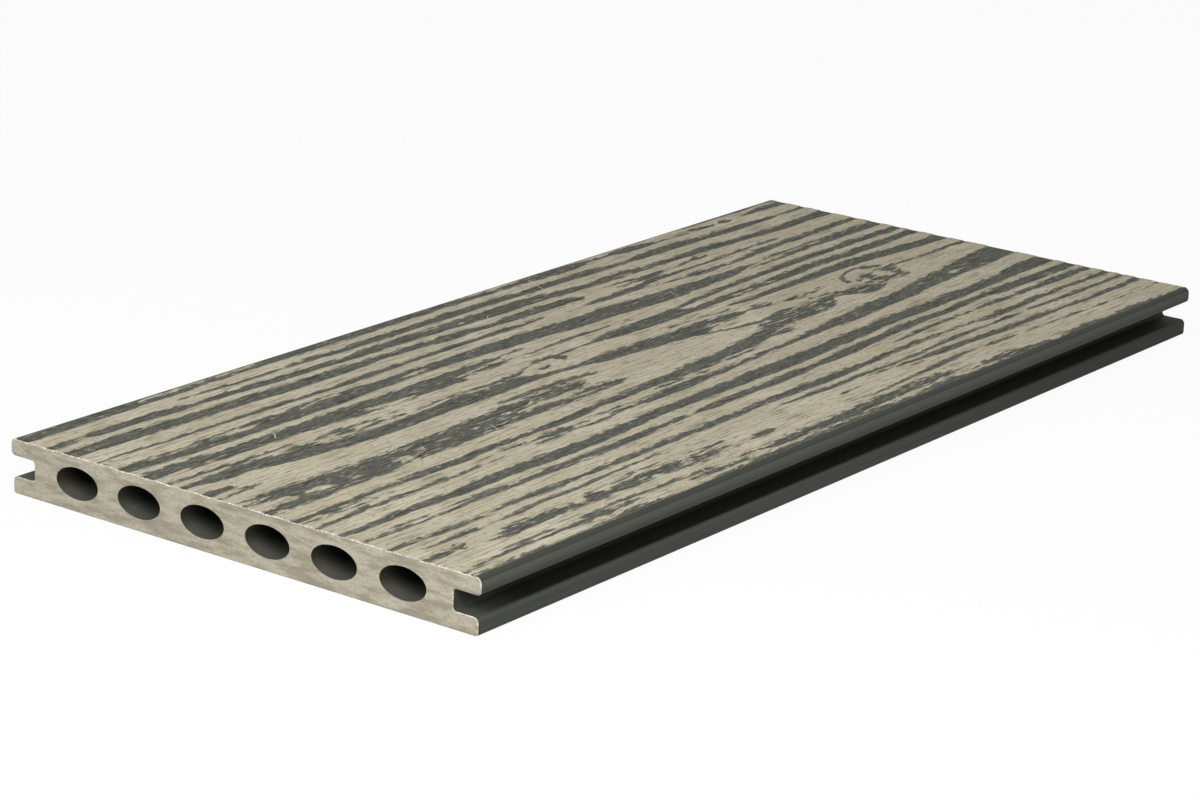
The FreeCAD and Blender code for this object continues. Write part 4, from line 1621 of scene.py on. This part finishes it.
@dataclass(frozen=True)
class Studio:
    """The plain white set: a wide pale floor, an even sky and two soft lamps.

    Attributes:
        floor_half: Half the floor's side, in metres.
        floor_colour: The floor's colour for the light that it throws back.
        floor_shown: The floor's colour for the camera.
        floor_veil: Share of plain white that the camera sees on the floor.
        sky_low: Strength of the even light at the horizon.
        sky_high: Strength of the even light overhead.
        sky_top: Height of a direction, 1 being straight up, from which the light is at its strongest.
        lamps: The soft lamps.
    """

    floor_half: float = 6.0
    floor_colour: Colour = (0.25, 0.25, 0.25)
    floor_shown: Colour = (1.0, 1.0, 1.0)
    floor_veil: float = 0.92
    sky_low: float = 0.06
    sky_high: float = 0.45
    sky_top: float = 0.9
    lamps: tuple[Lamp, ...] = (
        Lamp("main_lamp", (-1.05, -0.05, 0.9), (-0.2, 0.0, 0.0), 0.7, 9.2),
        Lamp("side_lamp", (-0.62, -0.72, 0.45), (-0.15, -0.1, 0.01), 0.35, 3.8),
    )

    def make(self) -> None:
        """Build the floor, the sky and the lamps."""
        self._floor()
        self._sky()
        for lamp in self.lamps:
            lamp.make()
        LOG.info("studio: floor, sky and %d lamps", len(self.lamps))

    @staticmethod
    def _seen(sheet: NodeSheet) -> bpy.types.NodeSocket:
        """Tell what the camera sees, straight or in a reflection, from what only throws light.

        Args:
            sheet: The sheet to draw on.

        Returns:
            1 for what the camera sees and 0 for the rest.
        """
        rays = sheet.add("LightPath").outputs
        mirrored = sheet.math("MAXIMUM", rays["Is Glossy Ray"], rays["Is Transmission Ray"])
        return sheet.math("MAXIMUM", rays["Is Camera Ray"], mirrored)

    def _floor(self) -> None:
        """Make the floor, which keeps the board's shadow under a veil of white."""
        half = self.floor_half
        mesh = bpy.data.meshes.new("floor")
        corners = [(-half, -half, 0.0), (half, -half, 0.0), (half, half, 0.0), (-half, half, 0.0)]
        mesh.from_pydata(corners, [], [(0, 1, 2, 3)])
        material = bpy.data.materials.new("floor_paper")
        sheet = NodeSheet.cleared(material)
        seen = self._seen(sheet)
        paper = sheet.add("BsdfDiffuse", sheet.blend(seen, self.floor_colour, self.floor_shown))
        white = sheet.add("Emission")
        veil = sheet.product(seen, self.floor_veil)
        mix = sheet.add("MixShader", veil, paper.outputs[0], white.outputs[0])
        sheet.add("OutputMaterial", mix.outputs[0])
        mesh.materials.append(material)
        put_in_scene("floor", mesh)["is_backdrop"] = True

    def _sky(self) -> None:
        """Make the light from above, which the camera sees as plain white."""
        world = bpy.data.worlds.new("white_studio")
        sheet = NodeSheet.cleared(world)
        up = sheet.axes("Generated")[2]
        sky = sheet.grade(up, 0.0, self.sky_top, self.sky_low, self.sky_high)
        strength = sheet.grade(self._seen(sheet), 0.0, 1.0, sky, 1.0, "LINEAR")
        light = sheet.add("Background", (1.0, 1.0, 1.0), strength)
        sheet.add("OutputWorld", light.outputs[0])
        bpy.context.scene.world = world


@dataclass(frozen=True)
class PhotoCamera:
    """The camera at the photograph's viewpoint.

    Attributes:
        azimuth: Direction of the camera from the board, in degrees, 0 from -Y and -90 from -X.
        elevation: Its height above the horizon, in degrees.
        roll: Its tilt, in degrees.
        distance: Its distance from the origin's plane, in metres.
        sideways: Its shift to the right, in metres.
        upwards: Its shift up, in metres.
        end_shift: Its shift along the board, in metres, which brings the near end into its place.
        focal_pixels: Its focal length in pixels of the photograph.
        photo_width: The photograph's width, in pixels.
        sensor: The sensor's width, in millimetres.
        clip_start: The distance from which it sees things, in metres.
    """

    azimuth: float = -53.207
    elevation: float = 17.473
    roll: float = 1.796
    distance: float = 1.38906
    sideways: float = -0.01852
    upwards: float = 0.00188
    end_shift: float = 0.00053
    focal_pixels: float = 3657.0
    photo_width: float = 1200.0
    sensor: float = 36.0
    clip_start: float = 0.05

    def make(self) -> None:
        """Build the camera and make it the scene's own."""
        azimuth, elevation, roll = (math.radians(a) for a in (self.azimuth, self.elevation, self.roll))
        back = Vector((
            math.sin(azimuth) * math.cos(elevation),
            -math.cos(azimuth) * math.cos(elevation),
            math.sin(elevation),
        ))
        level_right = (-back).cross(Vector((0.0, 0.0, 1.0))).normalized()
        level_up = level_right.cross(-back)
        right = level_right * math.cos(roll) + level_up * math.sin(roll)
        up = level_up * math.cos(roll) - level_right * math.sin(roll)
        place = back * self.distance + level_right * self.sideways + level_up * self.upwards
        place.x += self.end_shift
        data = bpy.data.cameras.new("photo_camera")
        data.sensor_width = self.sensor
        data.lens = self.focal_pixels / self.photo_width * self.sensor
        data.clip_start = self.clip_start
        camera = put_in_scene("photo_camera", data)
        camera.matrix_world = Matrix.Translation(place) @ Matrix((right, up, back)).transposed().to_4x4()
        bpy.context.scene.camera = camera
        LOG.info("camera: lens %.1f mm at %s", data.lens, tuple(round(c, 3) for c in place))


def dress(board: bpy.types.Object) -> None:
    """Give the board its four finishes, in the order of Skin.

    Args:
        board: The board's object.
    """
    effects = SharedEffects()
    for finish in (WalkingFaceFinish(), ExtrudedFinish(), SAWN_END, BURR_EDGE):
        material = finish.make(effects)
        board.data.materials.append(material)
        LOG.info("finish: %s", material.name)


def main() -> None:
    logging.basicConfig(level=logging.INFO, format="%(name)s: %(message)s")
    PhotoCamera().make()
    Studio().make()
    low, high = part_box(NODE)
    length, width, thickness = ((b - a) / MM for a, b in zip(low, high))
    board = DeckingBoard(BoardSection(width, thickness), length).make()
    dress(board)
    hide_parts(NODE)
    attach(board, "root")
    bpy.context.scene.view_settings.view_transform = "Standard"
    low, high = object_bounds()


if __name__ == "__main__":
    main()
